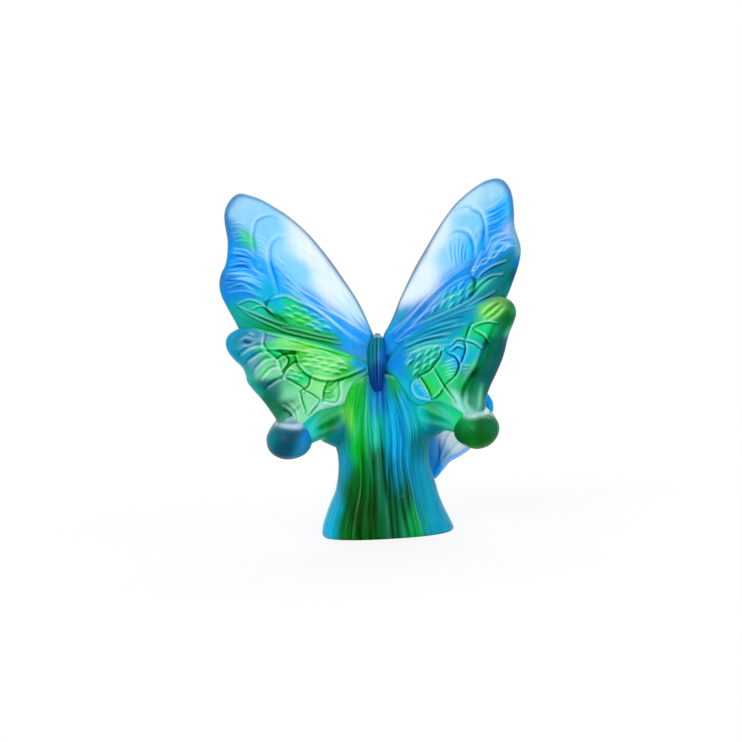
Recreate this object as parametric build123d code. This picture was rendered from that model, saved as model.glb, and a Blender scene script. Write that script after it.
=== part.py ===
"""Butterfly ornament of cast coloured glass, standing on a fluted trunk.

Millimetres. The origin is the middle of the foot, +Z is up and -Y is the side that the cupped wings face.
The pieces meet face to face along the creases that show on the glass: where two forms would share room,
the one named later is cut back to the one that carries it.
"""

from build123d import *

import os
from math import cos, pi, sin

# Trunk
foot_width = 45.0
foot_depth = 33.0
foot_edge = 1.2
waist_width = 30.8
waist_depth = 25.0
trunk_top_width = 24.0
trunk_top_depth = 14.0
trunk_top_height = 54.6
trunk_reed_height = 0.9

# Body
body_width = 6.8
body_depth = 12.0
body_top_height = 68.2
body_tip_height = 48.3
body_tip_forward = 9.0
body_top_back = 1.6
body_ridge_height = 0.5

# Forewings
forewing_root_height = 57.0
forewing_tip_height = 118.0
left_forewing_reach = 52.0
right_forewing_reach = 50.0
forewing_thickness = 5.0
forewing_rim_round = 1.0
forewing_cup_depth = 12.0
forewing_cup_offset = 10.0
forewing_cup_height = 92.0
forewing_back = 5.0

# Hindwings
hindwing_foot_height = 36.0
left_hindwing_top_height = 73.5
right_hindwing_top_height = 78.0
left_hindwing_reach = 51.0
right_hindwing_reach = 47.0
hindwing_thickness = 5.0
hindwing_rim_round = 1.0
hindwing_cup_depth = 16.0
hindwing_cup_offset = 20.0
hindwing_cup_height = 70.0
hindwing_forward = 0.5

# Rolled outer margin of a hindwing
roll_width = 6.0
roll_thickness = 7.0

# Raised work on the hollow faces of the wings
vein_width = 1.2
vein_height = 0.7
pad_height = 0.9
forewing_pad_lean = 30.0
hindwing_pad_lean = 17.0
relief_root = 0.6

# Tails that curl forward out of the hindwings and end in knobs
knob_width = 15.0
knob_height = 12.2
knob_offset = 31.8
knob_centre_height = 32.4
knob_forward = 15.5
tail_root_rise = 10.5
tail_root_behind = 7.5
tail_root_offset = 29.5

# Arms that carry the knobs
arm_root_width = 14.0
arm_root_height = 12.6
arm_end_width = 9.0
arm_end_height = 8.0
arm_root_centre_height = 38.6
arm_root_offset = 8.0
arm_plug_length = 7.0

# Leaf behind the trunk
leaf_reach = 38.0
leaf_foot_height = 15.5
leaf_tip_height = 46.0
leaf_thickness = 4.0
leaf_rim_round = 1.0
leaf_cup_depth = 5.0
leaf_back = 11.0

# Trunk sections from foot to waist: share of the trunk's height, then share of the flare that is left
flare_shares = [(0.0, 1.0), (0.07, 0.86), (0.16, 0.60), (0.28, 0.24), (0.40, 0.03), (0.52, 0.0)]
# Trunk sections from waist to top: share of the trunk's height, then share of the drawing in
neck_shares = [(0.68, 0.25), (0.84, 0.60), (1.0, 1.0)]
# Widths of the trunk's reeds round the column, and of the body's ridges
trunk_reed_shares = [1.0, 0.8, 1.1, 0.7, 0.9, 1.3, 0.8, 1.0, 0.7, 1.2, 0.9, 1.1, 0.7, 1.0, 0.8, 0.6, 0.9, 1.2, 0.8, 1.0]
body_ridge_shares = [1.0, 0.8, 0.8, 1.0, 1.0, 0.8, 0.8, 1.0]
# The trunk's crest seen from the front: shares of half the top's width and of the top's height
crest_shares = [
    (-1.22, 0.80), (-1.06, 0.87), (-0.98, 0.935), (-0.66, 0.965), (-0.29, 0.99), (0.17, 0.995),
    (0.52, 0.96), (0.71, 0.92), (0.80, 0.87), (1.22, 0.80),
]

# Body sections: share of the way from tip to top, then share of the full girth
body_girth_shares = [
    (0.0, 0.16), (0.10, 0.50), (0.30, 0.88), (0.60, 1.0), (0.86, 0.84), (0.97, 0.50), (1.0, 0.20),
]

# Outlines seen from the front: shares of a piece's reach, and of its height from foot to tip
left_forewing_shares = [
    (0.03, 0.19), (0.11, 0.35), (0.30, 0.62), (0.52, 0.845), (0.71, 0.962), (0.81, 0.99),
    (0.90, 0.942), (0.937, 0.836), (0.93, 0.70), (0.95, 0.606), (0.996, 0.50), (0.955, 0.372),
    (0.88, 0.245), (0.76, 0.15), (0.54, 0.09), (0.23, 0.03), (0.06, 0.04),
]
right_forewing_shares = [
    (0.04, 0.157), (0.125, 0.275), (0.23, 0.447), (0.36, 0.62), (0.505, 0.797), (0.67, 0.93),
    (0.79, 0.988), (0.86, 0.998), (0.93, 0.95), (0.963, 0.81), (0.965, 0.72), (0.992, 0.625),
    (0.988, 0.555), (0.936, 0.433), (0.86, 0.28), (0.72, 0.16), (0.46, 0.09), (0.22, 0.03),
    (0.06, 0.03),
]
left_hindwing_shares = [
    (0.09, 0.59), (0.237, 0.70), (0.394, 0.787), (0.569, 0.856), (0.725, 0.923), (0.85, 0.985),
    (0.955, 0.955), (0.995, 0.83), (0.94, 0.69), (0.88, 0.587), (0.868, 0.48), (0.80, 0.365),
    (0.725, 0.22), (0.68, 0.10), (0.60, 0.03), (0.48, 0.07), (0.33, 0.15), (0.16, 0.26),
    (0.04, 0.42),
]
right_hindwing_shares = [
    (0.09, 0.53), (0.26, 0.67), (0.53, 0.80), (0.72, 0.90), (0.83, 0.98), (0.92, 0.996),
    (0.985, 0.925), (0.99, 0.85), (0.945, 0.72), (0.915, 0.595), (0.875, 0.475), (0.80, 0.32),
    (0.755, 0.20), (0.72, 0.08), (0.64, 0.03), (0.52, 0.07), (0.35, 0.14), (0.17, 0.23),
    (0.04, 0.38),
]
leaf_shares = [
    (0.45, 0.04), (0.60, 0.20), (0.70, 0.27), (0.81, 0.36), (0.92, 0.50), (0.985, 0.70),
    (0.985, 0.86), (0.92, 0.96), (0.78, 0.99), (0.55, 0.92), (0.30, 0.70), (0.20, 0.40),
    (0.27, 0.12),
]

# Veins of a wing, in the outline's shares, from the root outwards
forewing_vein_shares = [
    [(0.10, 0.20), (0.28, 0.36), (0.50, 0.54), (0.64, 0.70), (0.66, 0.78), (0.60, 0.79), (0.53, 0.74)],
    [(0.10, 0.16), (0.34, 0.33), (0.58, 0.50), (0.74, 0.66), (0.80, 0.80), (0.77, 0.88), (0.69, 0.87)],
    [(0.12, 0.13), (0.40, 0.30), (0.66, 0.42), (0.86, 0.54)],
]
hindwing_vein_shares = [
    [(0.16, 0.57), (0.36, 0.73), (0.58, 0.79), (0.78, 0.82)],
    [(0.12, 0.49), (0.30, 0.45), (0.50, 0.47), (0.66, 0.56), (0.74, 0.68)],
    [(0.29, 0.32), (0.41, 0.32), (0.56, 0.38), (0.70, 0.50), (0.79, 0.66)],
    [(0.30, 0.46), (0.32, 0.39), (0.33, 0.31)],
    [(0.48, 0.48), (0.53, 0.36), (0.57, 0.24)],
    [(0.62, 0.53), (0.70, 0.43), (0.76, 0.36)],
]
# The rolled outer margin of a hindwing, in the outline's shares, from the lobe down to the tail
roll_shares = [(0.94, 0.81), (0.90, 0.70), (0.85, 0.59), (0.82, 0.48), (0.75, 0.35), (0.69, 0.22)]
# A wing's oval pad: its centre in the outline's shares, then its width and height as shares of the reach
forewing_pad_shares = (0.49, 0.285, 0.52, 0.13)
hindwing_pad_shares = (0.34, 0.60, 0.38, 0.17)

# Arm sections from plug to knob: share of the way, then share of the drawing in
arm_shares = [(0.0, 0.0), (0.30, 0.55), (0.60, 0.90), (0.92, 1.0)]
# Tail sections from hindwing to knob's tip: shares of the way down and forward, then of the knob's girths
tail_shares = [
    (0.0, 0.0, 0.68, 0.40), (0.40, 0.20, 0.74, 0.56), (0.78, 0.55, 0.90, 0.86), (1.0, 1.0, 1.0, 1.0),
    (1.0, 1.55, 0.86, 0.86), (1.0, 1.90, 0.52, 0.52), (1.0, 2.0, 0.16, 0.16),
]


def front_plane(depth=0.0):
    """The plane that faces the viewer at that depth, with its own x and y along X and Z."""
    return Plane(origin=(0, depth, 0), x_dir=(1, 0, 0), z_dir=(0, -1, 0))


def placed(shares, reach, foot, tip, side):
    """Points on the front plane from shares of reach and height; side is -1 for left and 1 for right."""
    return [(side * reach * across, foot + (tip - foot) * up) for across, up in shares]


def reeded_section(width, depth, height, width_shares, reed_height, forward=0.0):
    """A level oval face with a bulge for each reed and a sharp groove between two of them."""

    def spot(turn, swell):
        across = (width / 2 + swell) * cos(turn)
        return (across, (depth / 2 + swell) * sin(turn) - forward, height)

    arcs = []
    turn = 0
    for share in width_shares:
        sweep_angle = 2 * pi * share / sum(width_shares)
        start, middle, end = turn, turn + sweep_angle / 2, turn + sweep_angle
        arcs.append(ThreePointArc(spot(start, -reed_height), spot(middle, 0), spot(end, -reed_height)))
        turn = end
    return Face(Wire(arcs))


def largest(shape):
    """The one solid of a piece, without the crumbs that a cut can leave."""
    return shape.solids().sort_by(SortBy.VOLUME)[-1]


def make_trunk():
    """Fluted column, flared to a level foot, with a crest that rises in the middle."""
    sections = []
    for shares, end_width, end_depth in (
        (flare_shares, foot_width, foot_depth),
        (neck_shares, trunk_top_width, trunk_top_depth),
    ):
        for up, gone in shares:
            width = waist_width + (end_width - waist_width) * gone
            depth = waist_depth + (end_depth - waist_depth) * gone
            height = foot_edge + (trunk_top_height - foot_edge) * up
            sections.append(reeded_section(width, depth, height, trunk_reed_shares, trunk_reed_height))
    sole_width, sole_depth = foot_width - 2 * foot_edge, foot_depth - 2 * foot_edge
    sole = reeded_section(sole_width, sole_depth, 0, trunk_reed_shares, trunk_reed_height)
    column = loft(sections) + loft([sole, sections[0]], ruled=True)
    return largest(column & below_crest(foot_width))


def below_crest(half_width):
    """The room below the crest's curve, as a prism from front to back."""
    crest = [(trunk_top_width / 2 * across, trunk_top_height * up) for across, up in crest_shares]
    (left, left_height), (right, right_height) = crest[0], crest[-1]
    sides_and_foot = Polyline(
        (right, right_height),
        (half_width, right_height),
        (half_width, 0),
        (-half_width, 0),
        (-half_width, left_height),
        (left, left_height),
    )
    return extrude(front_plane() * make_face(Spline(*crest) + sides_and_foot), foot_depth, both=True)


def make_body():
    """Ridged spindle between the wing roots, its tip lying on the front of the trunk."""
    sections = []
    for along, girth in body_girth_shares:
        forward = body_tip_forward - (body_top_back + body_tip_forward) * along
        height = body_tip_height + (body_top_height - body_tip_height) * along
        ridge = body_ridge_height * girth
        width, depth = body_width * girth, body_depth * girth
        sections.append(reeded_section(width, depth, height, body_ridge_shares, ridge, forward))
    return loft(sections)


class Cup:
    """The sphere that a wing's middle surface lies on, hollow towards the viewer."""

    def __init__(self, reach, cup_depth, offset, height, back, thickness):
        self.radius = (reach**2 + cup_depth**2) / (2 * cup_depth)
        self.centre = (offset, back - self.radius, height)
        self.thickness = thickness

    def between(self, face, near, far):
        """What the outline's prism holds from near before the middle surface to far behind it."""
        prism = extrude(front_plane(self.centre[1]) * face, -(self.radius + self.thickness))
        return prism & (Pos(*self.centre) * (Sphere(self.radius + far) - Sphere(self.radius - near)))

    def plate(self, points, rim_round):
        """A plate of even thickness with a softened rim."""
        face = make_face(Spline(*points, periodic=True))
        plate = largest(self.between(face, self.thickness / 2, self.thickness / 2))
        return fillet(plate.edges(), rim_round)

    def raised(self, face, height):
        """Raised work of that outline on the hollow face, rooted a little way into the plate."""
        front = self.thickness / 2
        return self.between(face, front + height, relief_root - front)


def ribbon(points, width):
    """A band along a curve, full at the first point and half as wide at the last."""
    curve = Spline(*points)
    left, right = [], []
    for step in range(len(points)):
        along = step / (len(points) - 1)
        spot = curve @ along
        normal = (curve % along).rotate(Axis.Z, 90) * (width / 2 * (1 - along / 2))
        left.append(tuple(spot + normal)[:2])
        right.append(tuple(spot - normal)[:2])
    right.reverse()
    return make_face(Spline(*left) + Line(left[-1], right[0]) + Spline(*right) + Line(right[-1], left[0]))


class Wing:
    """A wing's plate and the raised work that is laid on its hollow face once its neighbours have cut it."""

    def __init__(self, side, reach, foot, tip, cup, shares, vein_shares, pad_shares, pad_lean, rim_round):
        self.span = (reach, foot, tip, side)
        self.cup = cup
        self.vein_shares = vein_shares
        across, up, width_share, height_share = pad_shares
        centre = placed([(across, up)], *self.span)[0]
        oval = Ellipse(reach * width_share / 2, reach * height_share / 2)
        self.pad = Pos(*centre) * Rot(0, 0, side * pad_lean) * oval
        self.shape = cup.plate(placed(shares, *self.span), rim_round)

    def cut_back(self, *carriers):
        for carrier in carriers:
            self.shape = largest(self.shape - carrier)

    def roll_margin(self, shares, width, thickness):
        """A round roll laid along the outer margin, standing on the hollow face."""
        spots = []
        for x, z in placed(shares, *self.span):
            centre_x, centre_y, centre_z = self.cup.centre
            sag = self.cup.radius - (self.cup.radius**2 - (x - centre_x) ** 2 - (z - centre_z) ** 2) ** 0.5
            spots.append((x, centre_y + self.cup.radius - sag, z))
        path = Spline(*spots)
        start = Plane(origin=path @ 0, z_dir=path % 0, x_dir=(0, 1, 0))
        section = start * Ellipse(thickness / 2, width / 2)
        self.shape = largest(self.shape + sweep(section, path))

    def carve(self):
        veins = [ribbon(placed(shares, *self.span), vein_width) for shares in self.vein_shares]
        self.shape = self.shape + self.cup.raised(Sketch() + veins - self.pad, vein_height)
        self.shape = largest(self.shape + self.cup.raised(self.pad, pad_height))


def make_forewing(shares, reach, side):
    offset = side * forewing_cup_offset
    cup = Cup(reach, forewing_cup_depth, offset, forewing_cup_height, forewing_back, forewing_thickness)
    return Wing(
        side,
        reach,
        forewing_root_height,
        forewing_tip_height,
        cup,
        shares,
        forewing_vein_shares,
        forewing_pad_shares,
        forewing_pad_lean,
        forewing_rim_round,
    )


def make_hindwing(shares, reach, top_height, side):
    offset = side * hindwing_cup_offset
    cup = Cup(reach, hindwing_cup_depth, offset, hindwing_cup_height, -hindwing_forward, hindwing_thickness)
    return Wing(
        side,
        reach,
        hindwing_foot_height,
        top_height,
        cup,
        shares,
        hindwing_vein_shares,
        hindwing_pad_shares,
        hindwing_pad_lean,
        hindwing_rim_round,
    )


def make_arm(side):
    """Stout arm: a plug in the trunk's shoulder, then outward and forward into the knob."""
    def section(out, forward, height, width, thickness):
        plane = Plane(origin=(side * out, -forward, height), x_dir=(0, 1, 0), z_dir=(side, 0, 0))
        return plane * Ellipse(width / 2, thickness / 2)

    root = section(arm_root_offset, 0, arm_root_centre_height, arm_root_width, arm_root_height)
    faces = []
    for gone, drawn_in in arm_shares:
        faces.append(
            section(
                arm_root_offset + arm_plug_length + (knob_offset - arm_root_offset - arm_plug_length) * gone,
                knob_forward * gone,
                arm_root_centre_height + (knob_centre_height - arm_root_centre_height) * gone,
                arm_root_width + (arm_end_width - arm_root_width) * drawn_in,
                arm_root_height + (arm_end_height - arm_root_height) * drawn_in,
            )
        )
    return extrude(root, arm_plug_length) + loft(faces)


def make_tail(side):
    """Neck that leaves the hindwing's lower end, curls forward and swells into a knob."""
    faces = []
    for down, forward, width_share, height_share in tail_shares:
        spot = (
            side * (tail_root_offset + (knob_offset - tail_root_offset) * down),
            tail_root_behind * (1 - forward) - knob_forward,
            knob_centre_height + tail_root_rise * (1 - down),
        )
        aim = (0, -min(forward, 1), min(forward, 1) - 1)
        plane = Plane(origin=spot, x_dir=(1, 0, 0), z_dir=aim)
        faces.append(plane * Ellipse(knob_width * width_share / 2, knob_height * height_share / 2))
    return loft(faces)


def make_leaf():
    points = placed(leaf_shares, leaf_reach, leaf_foot_height, leaf_tip_height, 1)
    middle = (leaf_foot_height + leaf_tip_height) / 2
    cup = Cup(leaf_reach / 2, leaf_cup_depth, leaf_reach / 2, middle, leaf_back, leaf_thickness)
    return cup.plate(points, leaf_rim_round)


sides = {"left": -1, "right": 1}
forewing_sizes = {
    "left": (left_forewing_shares, left_forewing_reach),
    "right": (right_forewing_shares, right_forewing_reach),
}
hindwing_sizes = {
    "left": (left_hindwing_shares, left_hindwing_reach, left_hindwing_top_height),
    "right": (right_hindwing_shares, right_hindwing_reach, right_hindwing_top_height),
}

body = make_body()
arms = {name: make_arm(side) for name, side in sides.items()}
trunk = make_trunk() - body
for arm in arms.values():
    trunk = largest(trunk - arm)
crest_room = below_crest(waist_width / 2)
nodes = {"body": body, "trunk": trunk}
for name, side in sides.items():
    forewing = make_forewing(*forewing_sizes[name], side)
    forewing.cut_back(body)
    hindwing = make_hindwing(*hindwing_sizes[name], side)
    hindwing.cut_back(body, crest_room, forewing.shape, arms[name])
    hindwing.roll_margin(roll_shares, roll_width, roll_thickness)
    tail = make_tail(side)
    for carrier in (hindwing.shape, arms[name]):
        tail = largest(tail - carrier)
    if name == "right":
        leaf = make_leaf()
        for carrier in (trunk, arms[name], hindwing.shape):
            leaf = largest(leaf - carrier)
        nodes["rear_leaf"] = leaf
    forewing.carve()
    hindwing.carve()
    nodes[f"{name}_forewing"] = forewing.shape
    nodes[f"{name}_hindwing"] = hindwing.shape
    nodes[f"{name}_arm"] = arms[name]
    nodes[f"{name}_tail"] = tail

os.makedirs("parts", exist_ok=True)
for name, shape in nodes.items():
    export_step(shape, f"parts/{name}.step")
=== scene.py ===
"""Looks of a butterfly ornament of kiln-cast coloured glass on a fluted trunk.

Metres, in the frame's axes: +Z up, -Y towards the viewer that the wings face. Places on the object are written
in the part's own millimetres, and mm turns them into metres of the frame.
"""

from math import cos, pi, radians, sin, sqrt

import bpy
import numpy as np
from mathutils import Euler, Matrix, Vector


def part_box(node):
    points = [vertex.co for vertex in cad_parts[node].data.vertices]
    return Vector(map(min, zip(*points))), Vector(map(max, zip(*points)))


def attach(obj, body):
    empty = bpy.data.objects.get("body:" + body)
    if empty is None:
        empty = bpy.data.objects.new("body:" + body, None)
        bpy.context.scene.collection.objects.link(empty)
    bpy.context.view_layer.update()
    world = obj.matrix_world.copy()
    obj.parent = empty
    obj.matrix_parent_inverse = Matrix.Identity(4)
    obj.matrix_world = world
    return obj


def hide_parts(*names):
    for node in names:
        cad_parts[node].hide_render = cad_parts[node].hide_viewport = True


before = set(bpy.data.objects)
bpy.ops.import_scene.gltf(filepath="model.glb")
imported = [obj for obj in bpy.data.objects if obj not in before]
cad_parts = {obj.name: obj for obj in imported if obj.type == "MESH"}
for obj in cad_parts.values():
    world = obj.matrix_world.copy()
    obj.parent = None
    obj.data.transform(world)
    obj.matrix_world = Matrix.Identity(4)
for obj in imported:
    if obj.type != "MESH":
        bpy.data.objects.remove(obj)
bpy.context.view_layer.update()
# The left forewing's tip is the part's highest point, and its height in the frame gives the size of a millimetre.
tip_height = 117.94
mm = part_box("left_forewing")[1][2] / tip_height


# Stage: a floor of white paper under a white room, lit by large soft lamps, so that the glass shows plainly.
# It isn't part of the object.
def linear(code):
    """A colour written as #rrggbb, in the linear values that Blender mixes."""
    parts = [int(code[place : place + 2], 16) / 255 for place in (1, 3, 5)]
    return [part / 12.92 if part <= 0.04045 else ((part + 0.055) / 1.055) ** 2.4 for part in parts]


def add_node(tree, kind, inputs=None, **settings):
    """Adds a shader node with its settings, and gives each named input a value or another node's output."""
    node = tree.nodes.new("ShaderNode" + kind)
    for setting, value in settings.items():
        setattr(node, setting, value)
    for name, value in (inputs or {}).items():
        if isinstance(value, bpy.types.NodeSocket):
            tree.links.new(value, node.inputs[name])
        else:
            node.inputs[name].default_value = value
    return node


def seen_directly(tree):
    """1 for what the camera sees, straight or through glass or in a gloss, and 0 for light on the object."""
    path = add_node(tree, "LightPath")
    through = add_node(tree, "Math", operation="MAXIMUM")
    tree.links.new(path.outputs["Is Camera Ray"], through.inputs[0])
    tree.links.new(path.outputs["Is Transmission Ray"], through.inputs[1])
    seen = add_node(tree, "Math", operation="MAXIMUM")
    tree.links.new(through.outputs[0], seen.inputs[0])
    tree.links.new(path.outputs["Is Glossy Ray"], seen.inputs[1])
    return seen.outputs[0]


floor_half_width = 1.6
floor_share_of_shadow = 0.22
floor_mesh = bpy.data.meshes.new("floor")
corners = [(-1, -1), (1, -1), (1, 1), (-1, 1)]
floor_mesh.from_pydata([(x * floor_half_width, y * floor_half_width, 0) for x, y in corners], [], [(0, 1, 2, 3)])
floor = bpy.data.objects.new("floor", floor_mesh)
bpy.context.collection.objects.link(floor)
paper = bpy.data.materials.new("white_paper")
paper.use_nodes = True
paper.node_tree.nodes.clear()
lit = add_node(paper.node_tree, "BsdfDiffuse", {"Color": (*linear("#f2f4f6"), 1)})
glow = add_node(paper.node_tree, "Emission", {"Color": (1, 1, 1, 1), "Strength": 1.0})
spot = add_node(paper.node_tree, "TexCoord")
reach = add_node(paper.node_tree, "VectorMath", operation="LENGTH")
paper.node_tree.links.new(spot.outputs["Object"], reach.inputs[0])
fade = add_node(
    paper.node_tree,
    "MapRange",
    {
        "Value": reach.outputs["Value"],
        1: 0.5 * tip_height * mm,
        2: 1.7 * tip_height * mm,
        3: 1 - floor_share_of_shadow,
        4: 1.0,
    },
    interpolation_type="SMOOTHSTEP",
)
share = add_node(
    paper.node_tree, "Math",
    {0: fade.outputs[0], 1: seen_directly(paper.node_tree)},
    operation="MULTIPLY",
)
mixed = add_node(paper.node_tree, "MixShader", {0: share.outputs[0], 1: lit.outputs[0], 2: glow.outputs[0]})
add_node(paper.node_tree, "OutputMaterial", {"Surface": mixed.outputs[0]})
floor_mesh.materials.append(paper)

world = bpy.data.worlds.new("white_studio")
bpy.context.scene.world = world
world.use_nodes = True
world.node_tree.nodes.clear()
room = add_node(world.node_tree, "Background", {"Color": (*linear("#eef3f8"), 1), "Strength": 0.55})
wall = add_node(world.node_tree, "Background", {"Color": (1, 1, 1, 1), "Strength": 1.0})
mixed = add_node(
    world.node_tree,
    "MixShader",
    {0: seen_directly(world.node_tree), 1: room.outputs[0], 2: wall.outputs[0]},
)
add_node(world.node_tree, "OutputWorld", {"Surface": mixed.outputs[0]})

for name, place, turn, size, power in (
    ("key_lamp", (-0.45, -0.75, 0.75), (48, 0, -31), 0.6, 5.5),
    ("fill_lamp", (0.6, -0.55, 0.35), (68, 0, 48), 0.6, 2.2),
    ("back_lamp", (0.1, 0.7, 0.55), (-58, 0, 0), 0.7, 4.0),
):
    lamp_data = bpy.data.lights.new(name, "AREA")
    lamp_data.size = size
    lamp_data.energy = power
    lamp = bpy.data.objects.new(name, lamp_data)
    lamp.location = place
    lamp.visible_transmission = False
    lamp.rotation_euler = [radians(angle) for angle in turn]
    bpy.context.collection.objects.link(lamp)

# The picture's middle in the object's plane, and what its width takes in there
aim = (-2.7 * mm, 0, 55.2 * mm)
view_width = 250.8 * mm
view_distance = 0.9
view_elevation = 5.0
view_roll = 3.3
lens_data = bpy.data.cameras.new("camera")
lens_data.sensor_width = 36.0
lens_data.lens = lens_data.sensor_width * view_distance / view_width
camera = bpy.data.objects.new("camera", lens_data)
rise = radians(view_elevation)
camera.location = (aim[0], aim[1] - view_distance * cos(rise), aim[2] + view_distance * sin(rise))
turn = Euler((pi / 2 - rise, 0, 0)).to_matrix() @ Euler((0, 0, radians(-view_roll))).to_matrix()
camera.rotation_euler = turn.to_euler()
bpy.context.collection.objects.link(camera)
bpy.context.scene.camera = camera
bpy.context.scene.view_settings.view_transform = "Standard"


# Body: the insect's body, a ridged spindle of blue and teal glass that lies on the trunk's top and
# rises between the wings. It was carved in wax, and its ridges were drawn lengthwise with a tool.
def smooth(points, count, closed=False):
    """A smooth curve through the points, as count evenly spaced spots."""
    spots = np.array(points, float)
    if closed:
        spots = np.vstack([spots[-1], spots, spots[0], spots[1]])
    else:
        spots = np.vstack([2 * spots[0] - spots[1], spots, 2 * spots[-1] - spots[-2]])
    along = np.linspace(0, 1, 20, endpoint=False)[:, None]
    runs = []
    for a, b, c, d in zip(spots, spots[1:], spots[2:], spots[3:]):
        bend = (2 * a - 5 * b + 4 * c - d) * along**2 + (3 * b - a - 3 * c + d) * along**3
        runs.append(0.5 * (2 * b + (c - a) * along + bend))
    line = np.vstack(runs + [spots[-2]])
    run = np.r_[0, np.cumsum(np.linalg.norm(np.diff(line, axis=0), axis=1))]
    steps = np.linspace(0, run[-1], count, endpoint=not closed)
    return np.stack([np.interp(steps, run, column) for column in line.T], axis=1)


def eased(value, low, high):
    """0 below low, 1 above high, and a soft rise between them."""
    share = np.clip((value - low) / (high - low), 0, 1)
    return share * share * (3 - 2 * share)


# The colours that the glass takes, by name, as sRGB.
TINTS = {
    "frost": "#e8f6fd", "ice": "#c6eafb", "mist": "#a2d8f2", "sky": "#84d2fc", "air": "#60c6fb",
    "bluebell": "#3cbcfa", "azure": "#10a8f8", "vivid": "#089cee", "cobalt": "#0a86d8", "royal": "#0870c8",
    "navy": "#084890", "midnight": "#04485c", "steel": "#347cb4", "slate": "#2086aa", "lavender": "#98b8f2",
    "pearl": "#b6ccf4", "harbour": "#6aa6b8", "cyan": "#0ab0da", "lagoon": "#10bebc", "sea": "#0898ba",
    "petrol": "#067c88", "depths": "#046c6c", "teal": "#0aa698", "jade": "#14c0a0", "lawn": "#0ab47e",
    "emerald": "#08a456", "pine": "#046c44", "forest": "#045c16", "bottle": "#047618", "grass": "#10ba34",
    "leaf": "#30d050", "lime": "#70dc46", "moss": "#66a454", "mint": "#86e48a", "pistachio": "#82dca6",
    "spring": "#16d080", "aqua": "#34d0c8", "foam": "#a0e4d6", "sage": "#44a480",
    "dusk": "#24606c", "shadow": "#24608c", "abyss": "#04545a",
}


def paint(spots, pools, source=(0, 64), squeeze=0.6):
    """The colour at each spot seen from the front, where pools of coloured glass have run into each other.

    A squeeze below 1 stretches the pools along the way from the source, as glass does when it runs.
    """
    fall_off = 3.2
    total = np.zeros((len(spots), 3))
    weights = np.zeros((len(spots), 1))
    for tint, places in pools:
        for x, z, reach in places:
            way = np.array([x - source[0], z - source[1]], float)
            way /= sqrt(way @ way)
            off_x, off_z = spots[:, 0] - x, spots[:, 1] - z
            along = squeeze * (off_x * way[0] + off_z * way[1])
            across = off_x * way[1] - off_z * way[0]
            weight = (1 + (along**2 + across**2) / reach**2) ** -fall_off
            total += weight[:, None] * linear(TINTS[tint])
            weights += weight[:, None]
    return total / weights


def run_out(spots, source, seed, amount):
    """Spots moved to and fro along their way from the source, so that colours looked up there are streaked."""
    strokes = 90
    chance = np.random.default_rng(seed)
    off = spots - source
    heading = np.arctan2(off[:, 1], off[:, 0])
    far = np.hypot(off[:, 0], off[:, 1])
    shift = np.zeros(len(spots))
    for _ in range(strokes):
        middle, width = chance.uniform(-pi, pi), chance.uniform(0.008, 0.04)
        place, reach = chance.uniform(0, 70), chance.uniform(8, 22)
        turn = np.abs(np.angle(np.exp(1j * (heading - middle))))
        near = turn < 3 * width
        stroke = np.exp(-((turn[near] / width) ** 2) - ((far[near] - place) / reach) ** 4)
        shift[near] += chance.uniform(-amount, amount) * stroke
    return spots + off / np.maximum(far, 1e-6)[:, None] * shift[:, None]


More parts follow.
